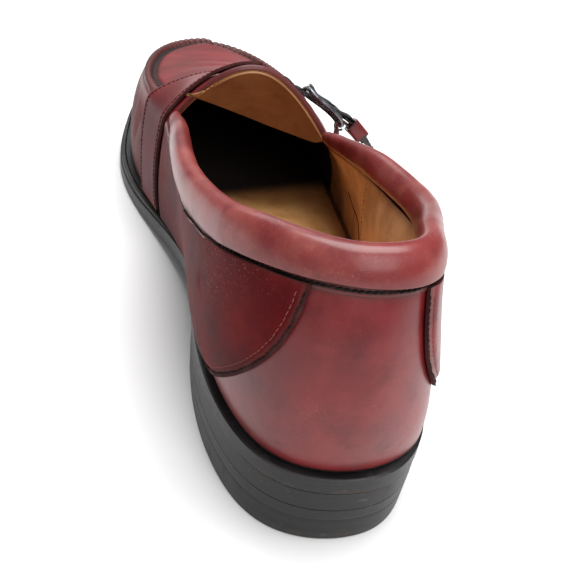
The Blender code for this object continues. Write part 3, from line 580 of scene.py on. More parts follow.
def inked(name, tone, worn, gloss, ribs=0.0):
    """Black edge ink over leather or rubber: brushed level, rubbed brown in places."""
    f = Finish(name)
    brushed = f.noise(0.5, 3.0, f.places((14.0, 14.0, 0.7)))
    dust = f.noise(5.0, 5.0, rough=0.7).step(0.52, 0.78)
    scuffs = f.noise(0.6, 2.0, f.places((12.0, 1.0, 3.0), (0.2, 0.1, 0.9))).step(0.66, 0.74)
    rubbed = f.painted("burnish") * f.noise(3.0, 4.0).step(0.35, 0.65)
    tint = f.layers(tone, (brushed.step(0.3, 0.7) * 0.25, DULL_BLACK), (dust * 0.16, DUST),
                    (scuffs * 0.25, SCUFF), (rubbed * 0.8, worn),
                    (f.painted("crevice"), JOINT_BLACK))
    heights = [(brushed, 0.05), (f.noise(1.1, 4.0), 0.04)]
    if ribs:
        heights.append((f.axis(1, f.places((ribs,) * 3)).wave().step(-0.4, 0.4), 0.25))
    return f.done(Base_Color=tint, Roughness=gloss + dust * 0.22 + rubbed * 0.2 + brushed * 0.1,
                  Coat_Weight=0.12 - dust * 0.1, Coat_Roughness=0.25, Specular_IOR_Level=0.32,
                  Normal=f.relief(*heights))


sole_ink = inked("black_sole_ink", colour(19, 18, 20), colour(70, 56, 46), 0.40)
walked_sole = inked("walked_sole", colour(36, 34, 34), colour(96, 74, 54), 0.6)
heel_rubber = inked("heel_rubber", colour(24, 24, 25), colour(74, 60, 50), 0.46)
tread_rubber = inked("tread_rubber", colour(30, 30, 31), colour(70, 62, 54), 0.65, ribs=2.4)


# %% Outsole
SOLE_CORNER, FACES_UP, GROUND_EDGE = 25.0, 0.7, 2.0
JOINT_EDGE, WALL_SLOPE, BEVEL_SLOPE = 0.44, 0.3, 0.95
TUCK_IN, TUCK_TO, TUCK_FROM = 2.3, (62.0, 108.0), (6.0, 24.0)


def flush(bm):
    """Narrow the bevels where layers meet, and trim the outer side of the heel to the leather."""
    bm.normal_update()
    moves = {}
    for edge in bm.edges:
        slopes = sorted((face.normal.z for face in edge.link_faces), key=abs)
        if len(slopes) == 2 and abs(slopes[0]) < WALL_SLOPE < abs(slopes[1]) < BEVEL_SLOPE:
            for vert in edge.verts:
                moves[vert] = math.copysign(JOINT_EDGE * MM, slopes[1])
    for vert, move in moves.items():
        vert.co.z += move if vert.co.z > GROUND_EDGE * MM else 0.0
    for vert in bm.verts:
        x, y, _ = shoe_measures(vert.co)
        vert.co.x -= TUCK_IN * MM * fade(y, *TUCK_TO) * (1.0 - fade(x, *TUCK_FROM))


def sole_layer(node):
    """A layer of the sole, flush with the others and made fine."""
    bm = copy_of(node)
    flush(bm)
    crease(bm, sharp_edges(bm, SOLE_CORNER), 1.0)
    return refined(bm, 2)


def finish_layer(name, node, bm, side, under):
    """Finish a layer of the sole, with another finish on the faces that look down."""
    for face in bm.faces:
        face.material_index = 1 if face.normal.z < -FACES_UP else 0
    finish_piece(name, bm, [side, under], [node], 30.0)


outsole = sole_layer("outsole")
sole_rim = [edge for edge in sharp_edges(outsole, 20.0) if edge.verts[0].normal.z < 0.0]
outsole_side = Line(walk(sole_rim)[0], True)
paint(outsole, burnish=lambda co: 0.9 * outsole_side.beside(co, 0.2, 1.6))
finish_layer("outsole_slab", "outsole", outsole, sole_ink, walked_sole)


# %% Heel lifts
GROOVE_HALF, GROOVE_DEPTH, SLICE_TOUCH = 0.14, 0.06, 0.02


def heel_lift(name, node, grooves, under):
    """A lift of the heel with level grooves at those heights."""
    bm = sole_layer(node)
    for height in grooves:
        for offset in (-GROOVE_HALF, 0.0, GROOVE_HALF):
            bmesh.ops.bisect_plane(bm, geom=whole(bm), dist=TOUCH, plane_no=(0, 0, 1),
                                   plane_co=spot(0.0, 0.0, height + offset))
        bm.normal_update()
        for vert in bm.verts:
            if abs(vert.co.z / MM - height) < SLICE_TOUCH:
                inward = Vector((vert.normal.x, vert.normal.y, 0.0)).normalized()
                vert.co -= inward * GROOVE_DEPTH * MM
    paint(bm, burnish=lambda co: 0.8 * fade(co.z / MM, 0.2, 1.2),
          crevice=lambda co: 0.4 * sum(fade(abs(co.z / MM - z), 0.0, 0.2) for z in grooves))
    finish_layer(name, node, bm, heel_rubber, under)


heel_lift("heel_top_piece", "heel_block", (8.6,), tread_rubber)
heel_lift("heel_stack", "heel_layer", (), heel_rubber)

# %% [markdown]
# ## Welt
# Round the forepart a narrow strip joins upper and sole. Its stitches lie in a channel along the
# top and are inked black with the rest. The row follows the outer top edge, which rays from above
# find, and stands a little in from it.

# %% Welt and its stitches
FOREPART_MIDDLE = spot(4.0, 215.0, 12.0)
WELT_TURNS = np.radians(np.linspace(-68.0, 248.0, 400))
WELT_REACHES = np.arange(30.0, 100.0, 0.4)
CHANNEL_IN, CHANNEL_HALF = 1.5, (0.3, 0.9)
welt = copy_of("welt")
crease(welt, sharp_edges(welt, SOLE_CORNER), 0.9)
welt = refined(welt, 2)
welt_top = skin_of(welt)
round_the_toe = []
for turn in WELT_TURNS:
    ray = Vector((math.cos(turn), math.sin(turn), 0.0))
    high = None
    for reach in WELT_REACHES:
        hit = welt_top.ray_cast(FOREPART_MIDDLE + (ray * reach - DOWN * 50.0) * MM, DOWN)
        high = hit[0] if hit[0] is not None and hit[1].z > FACES_UP else high
    if high is not None:
        round_the_toe.append(high - ray * CHANNEL_IN * MM)
welt_line = Line(round_the_toe).smoothed(20)
paint(welt, crevice=lambda co: 0.9 * welt_line.beside(co, *CHANNEL_HALF))
finish_piece("welt_strip", welt, [sole_ink], ["welt"], 30.0)
stamp("welt_stitches", stitches_along(welt_line, welt_top, *WELT_STITCH), black_thread)

# %% [markdown]
# ## Insole
# The foot rests on a thin sheet of tan leather, darker forward from foot polish and painted shade.
# It stops just short of the wall, so a dark gap runs round it that is also painted as shade, and
# under the vamp it is painted black as shade.

# %% Tan leather
def tan_leather(name, pale, warm):
    """Undyed lining leather: warm clouds, soil, foot polish and painted shade, fine wrinkles and
    pores.
    """
    f = Finish(name)
    stains = f.noise(11.0, 5.0, rough=0.65).step(0.48, 0.74)
    specks = f.noise(1.2, 3.0).step(0.58, 0.75)
    shade_mask = f.painted("crevice")
    tint = f.layers(pale, (f.noise(20.0, 4.0).step(0.35, 0.7), warm), (stains * 0.30, SOILED_AND_SHADED),
                    (specks * 0.18, SOILED_AND_SHADED), (f.painted("burnish"), SOILED_AND_SHADED), (shade_mask, SHADE_BLACK))
    wrinkles = f.relief((f.cells(0.8).step(0.0, 0.6), 0.03), (f.noise(2.6, 5.0), 0.06))
    return f.done(Base_Color=tint, Roughness=0.46 + stains * 0.15 + shade_mask * 0.4,
                  Specular_IOR_Level=0.3, Normal=wrinkles)


# SOILED_AND_SHADED is soil and painted shade; SHADE_BLACK is painted shade in gaps and under the
# vamp.
SOILED_AND_SHADED, SHADE_BLACK = colour(96, 60, 36), colour(22, 14, 10)
sock_leather = tan_leather("insole_leather", colour(218, 170, 112), colour(196, 142, 86))
lining = tan_leather("lining_leather", colour(176, 126, 84), colour(146, 98, 62))

# %% Insole sheet
# Painted shade: black under the vamp, with a darker lead-in before it.
SHADE_UNDER_VAMP, WEAR_AND_SHADE_AHEAD, SOCK_LEAN = (164.0, 178.0), (148.0, 176.0), 0.25
insole = copy_of("insole")
insole_rim = [edge for edge in sharp_edges(insole, SOLE_CORNER) if edge.verts[0].normal.z > 0.0]
insole_edge = Line(max(walk(insole_rim), key=mean_height), True)
crease(insole, sharp_edges(insole, 60.0), 0.5)
crease(insole, insole_rim, 0.8)
insole = refined(insole, 3)


def past(co, reach):
    """0 behind a slanting line across the sheet, 1 in front of it."""
    x, y, _ = shoe_measures(co)
    return 1.0 - fade(y - SOCK_LEAN * x, *reach)


# Darker forward as foot polish and painted shade, darker near the edge, and painted shade black
# under the vamp and in the gap by the wall.
paint(insole,
      burnish=lambda co: max(0.40 * past(co, WEAR_AND_SHADE_AHEAD), 0.45 * insole_edge.beside(co, 0.0, 5.0)),
      crevice=lambda co: max(past(co, SHADE_UNDER_VAMP), 0.9 * insole_edge.beside(co, 0.1, 0.7)))
finish_piece("insole_sheet", insole, [sock_leather], ["insole"])

# %% [markdown]
# ## The upper
# One skin of burgundy leather wraps the heel and the toe, lined with tan leather at the back and
# dark cloth over the toes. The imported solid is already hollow, so its faces only have to be told
# apart. They are gathered until a hard edge is reached, and the skin furthest from the middle of
# the foot is the outside.

# %% Telling skins apart
OUTSIDE, LINING, CUT_EDGE = 0, 1, 2


def skins(bm, degrees):
    """Groups of faces that no hard edge divides, the largest first."""
    hard = set(sharp_edges(bm, degrees))
    left = set(bm.faces)
    groups = []
    while left:
        group = [left.pop()]
        for face in group:
            for edge in face.edges:
                if edge in hard:
                    continue
                for other in edge.link_faces:
                    if other in left:
                        left.remove(other)
                        group.append(other)
        groups.append(group)
    return sorted(groups, key=lambda group: sum(face.calc_area() for face in group), reverse=True)


def from_the_foot(co):
    """Distance of a place from a line through the middle of the foot."""
    x, y, z = shoe_measures(co)
    return math.dist((x, y, z), (0.0, min(max(y, 40.0), 246.0), 34.0))


def spread(group):
    return np.mean([from_the_foot(face.calc_center_median()) for face in group])


def border(group):
    """Edges between a group of faces and the rest."""
    inside = set(group)
    return [edge for face in group for edge in face.edges
            if any(other not in inside for other in edge.link_faces)]


upper = copy_of("upper")
groups = skins(upper, 72.0)
outer_skin, inner_skin = sorted(groups[:2], key=spread, reverse=True)
for group in groups:
    index = OUTSIDE if group is outer_skin else LINING if group is inner_skin else CUT_EDGE
    for face in group:
        face.material_index = index
print("skins of the upper:", [len(group) for group in groups])

# %% The two rims
THROAT = (spot(-31.0, 149.0, 52.0), spot(29.0, 143.0, 50.0))
HEEL_TOP, TONGUE_TOP = spot(0.0, 8.0, 79.0), spot(-1.0, 152.0, 77.0)
outer_rims = sorted(walk(border(outer_skin)), key=mean_height)
seat_line, mouth_line = Line(outer_rims[0], True), Line(outer_rims[-1], True)
collar_seam = Line(stretch_between(outer_rims[-1], *THROAT, HEEL_TOP)).smoothed(12)
tongue_rim = Line(stretch_between(outer_rims[-1], *THROAT, TONGUE_TOP)).smoothed(12)
print("collar seam is", round(collar_seam.length / MM), "mm long")

# %% [markdown]
# ## The apron seam
# On a moccasin front the plug over the toes is joined to the wall by a whipped seam: a rounded
# ridge that a thick thread pulls into small puckers, with a groove on the inside. The ridge line
# is drawn in plan and dropped on the skin. The mesh is made finer there, and then it is pushed in
# and out by the distance from the line.

# %% Ridge line
APRON_PLAN = (
    (-33.1, 181.0), (-34.6, 196.0), (-32.3, 217.5), (-24.7, 238.7), (-13.2, 251.3), (-1.0, 255.7),
    (9.8, 251.3), (20.8, 238.7), (27.3, 217.5), (29.7, 195.0), (29.0, 178.0),
)
SKY_HEIGHT, RIM_CREASE = 120.0, 0.8


def smooth_course(places, count):
    """Evenly stepped places on the smooth curve through the given ones."""
    places = np.array(places, float)
    knots = lengths_along(places)
    steps = np.diff(knots)
    rises = np.diff(places, axis=0) / steps[:, None]
    size = len(knots)
    left, right = np.zeros((size, size)), np.zeros_like(places)
    left[0, :2], left[-1, -2:] = (2.0, 1.0), (1.0, 2.0)
    right[0], right[-1] = 3.0 * rises[0], 3.0 * rises[-1]
    for i in range(1, size - 1):
        left[i, i - 1:i + 2] = steps[i], 2.0 * (steps[i - 1] + steps[i]), steps[i - 1]
        right[i] = 3.0 * (steps[i] * rises[i - 1] + steps[i - 1] * rises[i])
    slopes = np.linalg.solve(left, right)
    at = np.linspace(0.0, knots[-1], count)
    i = np.clip(np.searchsorted(knots, at, side="right") - 1, 0, size - 2)
    t = ((at - knots[i]) / steps[i])[:, None]
    span = steps[i][:, None]
    return (places[i] * (2 * t**3 - 3 * t**2 + 1) + slopes[i] * span * (t**3 - 2 * t**2 + t)
            + places[i + 1] * (3 * t**2 - 2 * t**3) + slopes[i + 1] * span * (t**3 - t**2))


def laid_on(skin, places):
    """A seam through a few places, laid on the skin nearest to it."""
    return Line([skin.find_nearest(spot(*place))[0] for place in smooth_course(places, 60)])


crease(upper, border(outer_skin) + border(inner_skin), RIM_CREASE)
upper = refined(upper, 2)
rough_skin = skin_of(upper, OUTSIDE)
ridge_line = Line([rough_skin.ray_cast(spot(x, y, SKY_HEIGHT), DOWN)[0]
                   for x, y in smooth_course(APRON_PLAN, 260)]).smoothed(16)
ridge_length = ridge_line.length / MM
print("apron seam is", round(ridge_length), "mm long")

# %% Finer mesh beside the seam
SEAM_REACH = 7.5
TIP_HALF, TIP_REACH, TIP_ROUNDS = 7.0, 14.0, 10

near_seam = {edge for face in upper.faces
             if face.material_index == OUTSIDE
             and ridge_line.gap(face.calc_center_median()) < SEAM_REACH for edge in face.edges}
bmesh.ops.subdivide_edges(upper, edges=list(near_seam), cuts=1, use_grid_fill=True, smooth=0.0)
tip = [vert for vert in upper.verts if abs(shoe_measures(vert.co)[0]) < TIP_HALF
       and ridge_line.gap(vert.co) < TIP_REACH and vert.normal.z > 0.0]
for _ in range(TIP_ROUNDS):
    bmesh.ops.smooth_vert(upper, verts=tip, factor=0.5, use_axis_x=True, use_axis_y=True,
                          use_axis_z=True)
print("upper has", len(upper.faces), "faces")

# %% Push the ridge out and the groove in
WHIP_PITCH, PUCKER, ROLL, ROLL_HALF = 3.1, 0.58, 0.55, 1.9
GROOVE_AT, GROOVE_WIDE, APRON_GROOVE = 3.0, 1.25, 0.95
DIP_AT, DIP_WIDE, OUTER_DIP = -2.6, 0.8, 0.35
SEAM_STARTS, SEAM_ENDS, WHIP_REACH = 9.0, 5.0, 8.0


def seam_side(co):
    """Millimetres from the apron seam, positive towards the plug, and along it."""
    distance, along = ridge_line.nearest(co)
    point, way = ridge_line.at(along)
    return math.copysign(distance / MM, (co - point).dot(Vector((way.y, -way.x, 0.0)))), along / MM


def whipped(co):
    """Height of the whipped seam over the plain skin, in millimetres."""
    side, along = seam_side(co)
    if abs(side) >= WHIP_REACH:
        return 0.0
    ends = 1.0 - fade(along, 0.0, SEAM_STARTS)
    ends *= 1.0 - fade(ridge_length - along, 0.0, SEAM_ENDS)
    stitch = abs(math.sin(math.pi * along / WHIP_PITCH)) ** 0.6
    return ends * (ROLL * hump(side, 0.0, ROLL_HALF)
                   - PUCKER * (1.0 - stitch) * hump(side, -0.3, 1.8)
                   - APRON_GROOVE * hump(side, GROOVE_AT, GROOVE_WIDE)
                   - OUTER_DIP * hump(side, DIP_AT, DIP_WIDE))


def push(bm, corners, height):
    """Move corners along their normals by a height in millimetres."""
    bm.normal_update()
    moves = [(vert, vert.normal * height(vert.co) * MM) for vert in corners]
    for vert, move in moves:
        vert.co += move


push(upper, corners_of(upper, OUTSIDE), whipped)

# %% [markdown]
# ## Creases of wear
# A loafer bends across the ball of the foot, and the leather folds there in long shallow waves
# over the plug and down both walls. Each crease is given as a few places with a depth and a
# width, a soft trough with a low roll on either side.

# %% Creases over the ball of the foot
CREASES = (
    (((-35.0, 198.0, 52.0), (-20.0, 205.0, 56.0), (0.0, 208.0, 56.0), (20.0, 205.0, 54.0),
      (29.0, 199.0, 48.0)), 0.16, 3.6),
    (((-32.0, 209.0, 50.0), (-18.0, 215.0, 53.0), (2.0, 217.0, 54.0), (19.0, 213.0, 52.0)),
     0.12, 3.0),
    (((-38.0, 188.0, 42.0), (-40.0, 194.0, 32.0), (-40.0, 203.0, 20.0)), 0.50, 3.2),
    (((-38.0, 201.0, 42.0), (-40.0, 207.0, 30.0), (-40.0, 215.0, 20.0)), 0.35, 2.8),
    (((34.0, 189.0, 44.0), (40.0, 197.0, 34.0), (47.0, 208.0, 20.0)), 0.50, 3.4),
    (((34.0, 202.0, 42.0), (41.0, 209.0, 32.0), (48.0, 219.0, 19.0)), 0.32, 2.8),
)
outside_skin = skin_of(upper, OUTSIDE)
crease_lines = [(laid_on(outside_skin, places).smoothed(8), depth, width)
                for places, depth, width in CREASES]


def worn(co):
    """Depth of the creases at a place, in millimetres."""
    total = 0.0
    for line, depth, width in crease_lines:
        distance, along = line.nearest(co)
        gap = distance / MM
        if gap < 4.0 * width:
            ends = 1.0 - fade(min(along, line.length - along) / line.length, 0.0, 0.3)
            rolls, trough = hump(gap, 1.9 * width, width), hump(gap, 0.0, 0.55 * width)
            total += ends * depth * (0.6 * rolls - trough)
    return total


push(upper, corners_of(upper, OUTSIDE), worn)

# %% [markdown]
# ## Where the polish and painted shade go
# Polish and painted shade gather dark along the sole, in the groove of the apron seam and in the
# troughs of the creases, and beside the collar seam the leather is burnished grey-brown. These are
# painted by distance from the seams. Low on the inner side of the forepart the leather is painted
# darker and duller as shade. The cut edge of the tongue shows two layers, dyed leather outside and
# lining inside.

# %% Paint the upper
# Polish and painted shade along the sole, in the apron groove and in the crease troughs.
def upper_crevice(co):
    side, along = seam_side(co)
    groove = 0.0
    if abs(side) < 7.0 and along > 2.0:
        groove = (0.85 * hump(side, GROOVE_AT, 1.5) + 0.35 * hump(side, -0.4, 1.6)
                  + 0.6 * hump(side, DIP_AT - 0.4, 0.7))
    creased = min(max(-worn(co), 0.0) * 0.5, 0.3)
    return max(0.95 * seat_line.beside(co, 0.3, 2.4), groove, creased)


def upper_burnish(co):
    gap = ridge_line.gap(co)
    roll = 0.95 * hump(gap, 0.0, 2.6) if gap < 6.0 else 0.0
    return max(roll, 0.9 * collar_seam.beside(co, 1.4, 2.6))


def inner_wall_shade(co):
    """Painted shade: darker, duller leather low on the inner side of the forepart."""
    x, y, z = shoe_measures(co)
    return fade(x, -37.0, -25.0) * (1.0 - fade(y, 100.0, 130.0)) * fade(z, 40.0, 52.0)


paint(upper, satin=inner_wall_shade, crevice=upper_crevice, burnish=upper_burnish)

# %% Cut edge and lining finishes
EDGE_WIDE, EDGE_DYED = 2.2, 0.708455
CLOTH_FROM, CLOTH_LEAN, CLOTH_EDGE = 25.5, 0.07, 0.4


def layered_edge(name):
    """Cut edge, told apart by the painted number layer: dyed leather, then lining."""
    f = Finish(name)
    fibres = f.noise(0.6, 4.0)
    layer = f.painted("layer") + (f.noise(2.5, 3.0) - 0.5) * 0.08
    tint = f.layers(POLISH_AND_SHADE_BLACK, (EDGE_DYED, colour(104, 26, 28)),
                    (layer.step(0.93, 0.97), colour(178, 128, 66)),
                    (fibres.step(0.4, 0.8) * 0.25, colour(60, 30, 24)))
    return f.done(Base_Color=tint, Roughness=0.45 + fibres * 0.2, Coat_Weight=0.2,
                  Normal=f.relief((fibres, 0.05)))


def lined(name):
    """Tan leather lining that stops at a straight seam. Past it the toe is lined in black cloth."""
    f = Finish(name)
    stains = f.noise(7.0, 5.0).step(0.5, 0.75)
    here = f.places()
    cloth = (f.axis(1, here) - f.axis(0, here) * CLOTH_LEAN).step(CLOTH_FROM - CLOTH_EDGE,
                                                                   CLOTH_FROM + CLOTH_EDGE)
    weave = f.noise(0.5, 1.0, f.places((1.0, 6.0, 1.0))).step(0.4, 0.6)
    # burnish paints shade low and forward on the lining; crevice darkens seams.
    tint = f.layers(colour(206, 156, 110),
                    (f.noise(16.0, 4.0).step(0.35, 0.7), colour(172, 124, 82)),
                    (stains * 0.3, colour(92, 56, 34)), (f.painted("burnish"), colour(40, 28, 22)),
                    (cloth, f.layers(JOINT_BLACK, (weave, colour(30, 27, 26)))),
                    (f.painted("crevice"), colour(20, 14, 12)))
    return f.done(Base_Color=tint, Roughness=0.55 + stains * 0.15 + cloth * 0.25,
                  Normal=f.relief((f.cells(0.8).step(0.0, 0.6), 0.03), (f.noise(2.4, 5.0), 0.06),
                                  (1.0 - cloth, 0.5)))


edge_layers, inside_lining = layered_edge("cut_edge"), lined("inside_lining")
layer = upper.verts.layers.float.new("layer")
for vert in upper.verts:
    at_tongue = tongue_rim.gap(vert.co) < collar_seam.gap(vert.co)
    vert[layer] = min(mouth_line.gap(vert.co) / EDGE_WIDE, 1.0) if at_tongue else 0.0
print("mouth is", round(mouth_line.length / MM), "mm round")

# %% Finish the upper
LINING_SHADE_LOW, LINING_SHADE_AHEAD = (26.0, 52.0), (136.0, 160.0)
lining_faces = [face for face in upper.faces if face.material_index == LINING]
lining_rim = max(walk(border(lining_faces)), key=mean_height)
tongue_edge = Line(stretch_between(lining_rim, *THROAT, TONGUE_TOP)).smoothed(12)
lining_skin = skin_of(upper, LINING)
burnish, crevice = (upper.verts.layers.float[name] for name in ("burnish", "crevice"))
# Painted shade on the lining: darker low down and forward of the waist.
for vert in corners_of(upper, LINING):
    _, y, z = shoe_measures(vert.co)
    vert[burnish] = 0.4 * fade(z, *LINING_SHADE_LOW) * (1.0 - fade(y, *LINING_SHADE_AHEAD))
    vert[crevice] = 0.0
whip_skin = skin_of(upper, OUTSIDE)
finish_piece("wrapped_upper", upper, [burgundy, inside_lining, edge_layers], ["upper"],
             50.0)

# %% Stitches of the apron seam
STITCH_AT, WHIP_SLANT, WHIP_SIZE = (1.15, 2.35), 0.4, (2.1, 0.7, 0.5)
whips = []
for i in range(1, int((ridge_length - 6.0) / WHIP_PITCH)):
    point, way = ridge_line.at(i * WHIP_PITCH * MM)
    inward = Vector((way.y, -way.x, 0.0))
    ends = [whip_skin.find_nearest(point + inward * offset * MM)[0] for offset in STITCH_AT]
    ground, outward, _, _ = whip_skin.find_nearest((ends[0] + ends[1]) / 2.0)
    slanted = (ends[1] - ends[0] + way * WHIP_SLANT * MM).normalized()
    whips.append((ground, slanted, outward, np.array(WHIP_SIZE) * MM))
stamp("apron_whip_stitches", whips, wine_thread)

# %% Seams of the side lining
LINING_SEAM = ((28.9, 99.5, 58.0), (31.4, 103.6, 41.0), (35.0, 106.0, 28.0))
LINING_LAP = ((37.9, 137.1, 33.3), (37.0, 124.0, 32.0), (34.5, 112.0, 33.0), (36.0, 106.0, 26.0))
for name, places, finish, sizes in (
        ("side_lining_stitches", LINING_SEAM, pale_thread, LINING_STITCH),
        ("side_lining_lap", LINING_LAP, black_thread, LAP_STITCH)):
    seam = laid_on(lining_skin, places)
    stamp(name, stitches_along(seam, lining_skin, *sizes), finish)

# %% [markdown]
# ## Side panels
# A panel is sewn over each side from the heel forward. Its back edge is stitched with black thread
# right at the brink, so it reads as a ragged dark line, and a second finer row runs 2.6 mm in,
# over a burnished strip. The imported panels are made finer, and then painted and stitched.

# %% Panel helpers
def sewn_panel(node, held):
    """A thin panel made fine: its mesh, its middle and the chain round its outer skin."""
    bm = copy_of(node)
    groups = skins(bm, 60.0)
    outer = max(groups[:2], key=spread)
    for group in groups:
        for face in group:
            face.material_index = OUTSIDE if group is outer else CUT_EDGE
    chain = walk(border(outer))[0]
    crease(bm, sharp_edges(bm, 60.0), held)
    bm = refined(bm, 3)
    return bm, sum((vert.co for vert in bm.verts), Vector()) / len(bm.verts), chain


REAR_SEAMS = {
    "quarter_inner": (spot(-32.6, 64.8, 25.2), spot(-18.1, 11.8, 78.5), spot(-25.0, 20.0, 46.0)),
    "quarter_outer": (spot(32.9, 72.5, 25.9), spot(11.4, 9.9, 78.1), spot(20.0, 20.0, 45.0)),
}
SEAM_ROW, BAND_WIDE = 0.45, 2.6
EDGE_SKIVED, EDGE_SETTLED, SKIVED = 1.2, 0.5, (0.3, 4.5)
outer_skins = [whip_skin]
seam_stitches, second_stitches = [], []

# %% Sew both panels
for node, places in REAR_SEAMS.items():
    panel, middle, chain = sewn_panel(node, 0.8)
    back = Line(stretch_between(chain, *places))
    first, second = (shifted(back, skin_of(panel), row, middle) for row in (SEAM_ROW, BAND_WIDE))
    on_the_face = corners_of(panel, OUTSIDE)
    push(panel, on_the_face, lambda co: -EDGE_SKIVED * back.beside(co, *SKIVED)
         - 0.25 * second.trace(co, 0.4) - 0.10 * first.trace(co, 0.5))
    for vert in panel.verts:
        if vert not in on_the_face:
            outward = whip_skin.find_nearest(vert.co)[1]
            vert.co -= outward * EDGE_SETTLED * back.beside(vert.co, *SKIVED) * MM
    skin = skin_of(panel)
    outer_skins.append(skin)
    # Burnish beside the back edge and collar seam; polish and painted shade under the back edge,
    # along the second row, the collar seam and the sole.
    paint(panel,
          burnish=lambda co: max(0.55 * back.beside(co, 2.0, 2.7),
                                 0.4 * collar_seam.beside(co, 2.0, 3.0)),
          crevice=lambda co: max(0.9 * back.beside(co, 0.1, 0.9), 0.75 * second.trace(co, 0.5),
                                 0.9 * collar_seam.beside(co, 0.9, 1.6),
                                 0.9 * seat_line.beside(co, 0.6, 2.2)))
    seam_stitches += stitches_along(first, skin, *PANEL_STITCH, sink=0.2, turn=15.0)
    second_stitches += stitches_along(second, skin, *SECOND_STITCH, sink=0.55)
    # The inner panel takes the darker, duller copy of the leather, as painted shade.
    face_leather = shaded_side_leather if node == "quarter_inner" else burgundy
    finish_piece(node.replace("quarter", "side_panel"), panel,
                 [face_leather, face_leather, dyed_edge], [node])
    print(node, "has a rear seam of", round(back.length / MM), "mm")
stamp("panel_edge_stitches", seam_stitches, black_thread)
stamp("panel_second_stitches", second_stitches, worn_thread)

# %% [markdown]
# ## The collar
# The top edge is a soft roll: a strip of leather sewn along the edge, folded over a filler and
# sewn again inside. It swells between the places where the stitching pulls, and small wrinkles run
# across it where it turns tightly. The imported roll is pushed in and out by listed hollows and
# wrinkles. Inside, the lining starts half way down, so those faces take the lining's finish.

# %% Collar roll
COLLAR_LINING_BELOW, INSIDE_SEAM = 6.6, 1.2
HOLLOWS = (
    ((-12.0, 12.0, 88.0), 0.30, 13.0), ((24.0, 24.0, 84.0), 0.30, 13.0),
    ((-34.0, 58.0, 76.0), 0.25, 18.0), ((-36.0, 96.0, 68.0), 0.25, 18.0),
    ((30.0, 70.0, 73.0), 0.30, 16.0), ((31.0, 112.0, 64.0), 0.25, 15.0),
    ((4.0, 8.0, 86.0), -0.20, 10.0), ((-24.0, 24.0, 84.0), -0.20, 11.0),
)
WRINKLES = ((0.05, 5.3, 1.7, 31.0), (0.03, 2.3, 2.0, 17.0))
HEEL_REACH = 55.0
MIDDLE_OF_FOOT = spot(0.0, 90.0, 60.0)
collar = copy_of("collar")
crease(collar, sharp_edges(collar, 70.0), 0.5)
collar = refined(collar, 3)


def above_seam(co):
    """Height over the collar seam in millimetres, and how far inside the seam a place lies."""
    _, index, _ = collar_seam.tree.find(co)
    point = Vector(collar_seam.points[index])
    return (co - point).length / MM, from_the_foot(point) - from_the_foot(co)


def padding(co):
    """Soft hollows, and wrinkles that show most where the roll turns round the heel."""
    total = -sum(depth * hump((co - spot(*place)).length / MM, 0.0, reach)
                 for place, depth, reach in HOLLOWS)
    along = collar_seam.nearest(co)[1] / MM
    strong, weak = (depth * math.sin(along / pitch + wander * math.sin(along / slow))
                    for depth, pitch, wander, slow in WRINKLES)
    return total + strong * hump(along, collar_seam.length / MM * 0.5, HEEL_REACH) + weak


# Polish and painted shade: darkest at the foot of the roll outside, and a faint line where the
# lining starts inside.
def collar_crevice(co):
    height, inside = above_seam(co)
    lap = 0.25 * hump(height, COLLAR_LINING_BELOW, 0.8)
    return 0.9 * fade(height, 0.9, 2.2) if inside < 1.0 else lap


collar.normal_update()
for face in collar.faces:
    middle = face.calc_center_median()
    height, inside = above_seam(middle)
    low = height < COLLAR_LINING_BELOW and inside > INSIDE_SEAM and face.normal.z > -0.5
    faces_foot = face.normal.dot(MIDDLE_OF_FOOT - middle) > 0.0
    face.material_index = LINING if low and faces_foot else OUTSIDE
push(collar, collar.verts, padding)
# The roll is also painted darker towards its foot, as painted shade.
paint(collar, crevice=collar_crevice, burnish=lambda co: 0.40 * fade(above_seam(co)[0], 2.0, 6.0))
collar_roll = finish_piece("collar_roll", collar, [lit_collar_leather, lining], ["collar"])

# %% [markdown]
# ## Stitching under the collar
# The seam under the roll is the boldest line on the back of the shoe: black stitches close
# together on a narrow, burnished strip of leather that lies over panel and heel alike. Forward
# along the inner side the thread has worn pale. The strip is a sheet whose corners a function puts
# in place.

# %% Bent sheets
def sheet(steps_along, steps_across, place, outward, thickness):
    """A sheet with a thickness, and its skin while thin. Place puts each of its corners, for parts
    from 0 to 1 along and across."""
    bm = bmesh.new()
    bmesh.ops.create_grid(bm, x_segments=steps_along, y_segments=steps_across, size=1.0)
    for vert in bm.verts:
        vert.co = place((vert.co.x + 1.0) / 2.0, (vert.co.y + 1.0) / 2.0)
    bmesh.ops.recalc_face_normals(bm, faces=bm.faces)
    bm.faces.ensure_lookup_table()
    if bm.faces[0].normal.dot(outward) < 0.0:
        bmesh.ops.reverse_faces(bm, faces=bm.faces)
    skin = skin_of(bm)
    bmesh.ops.solidify(bm, geom=whole(bm), thickness=thickness * MM)
    return bm, skin


# %% Collar strip and its stitches
STRIP_STEPS, STRIP_WIDE, STRIP_THICK, STRIP_SUNK = 300, 3.0, 0.25, 0.5
STRIP_TUCK, STRIP_CROWN, STRIP_ROW, CAST_FROM = 1.1, 0.20, 0.53, 7.0
STRIP_MIDDLE = 0.6
PALE_UNTIL = 84.0


def outermost(point, outward):
    """The first leather that a line from outside meets on its way to a point."""
    start = point + outward * CAST_FROM * MM
    hits = [skin.ray_cast(start, -outward, 2.0 * CAST_FROM * MM) for skin in outer_skins]
    found = [hit for hit in hits if hit[0] is not None]
    return min(found, key=lambda hit: hit[3])[0] if found else point


def under_collar(along):
    """A place on the collar seam, the way outward and the way down."""
    point, way = collar_seam.at(along)
    outward = whip_skin.find_nearest(point)[1]
    outward = (outward - way * outward.dot(way)).normalized()
    down = outward.cross(way).normalized()
    return point, outward, down if down.z < 0.0 else -down


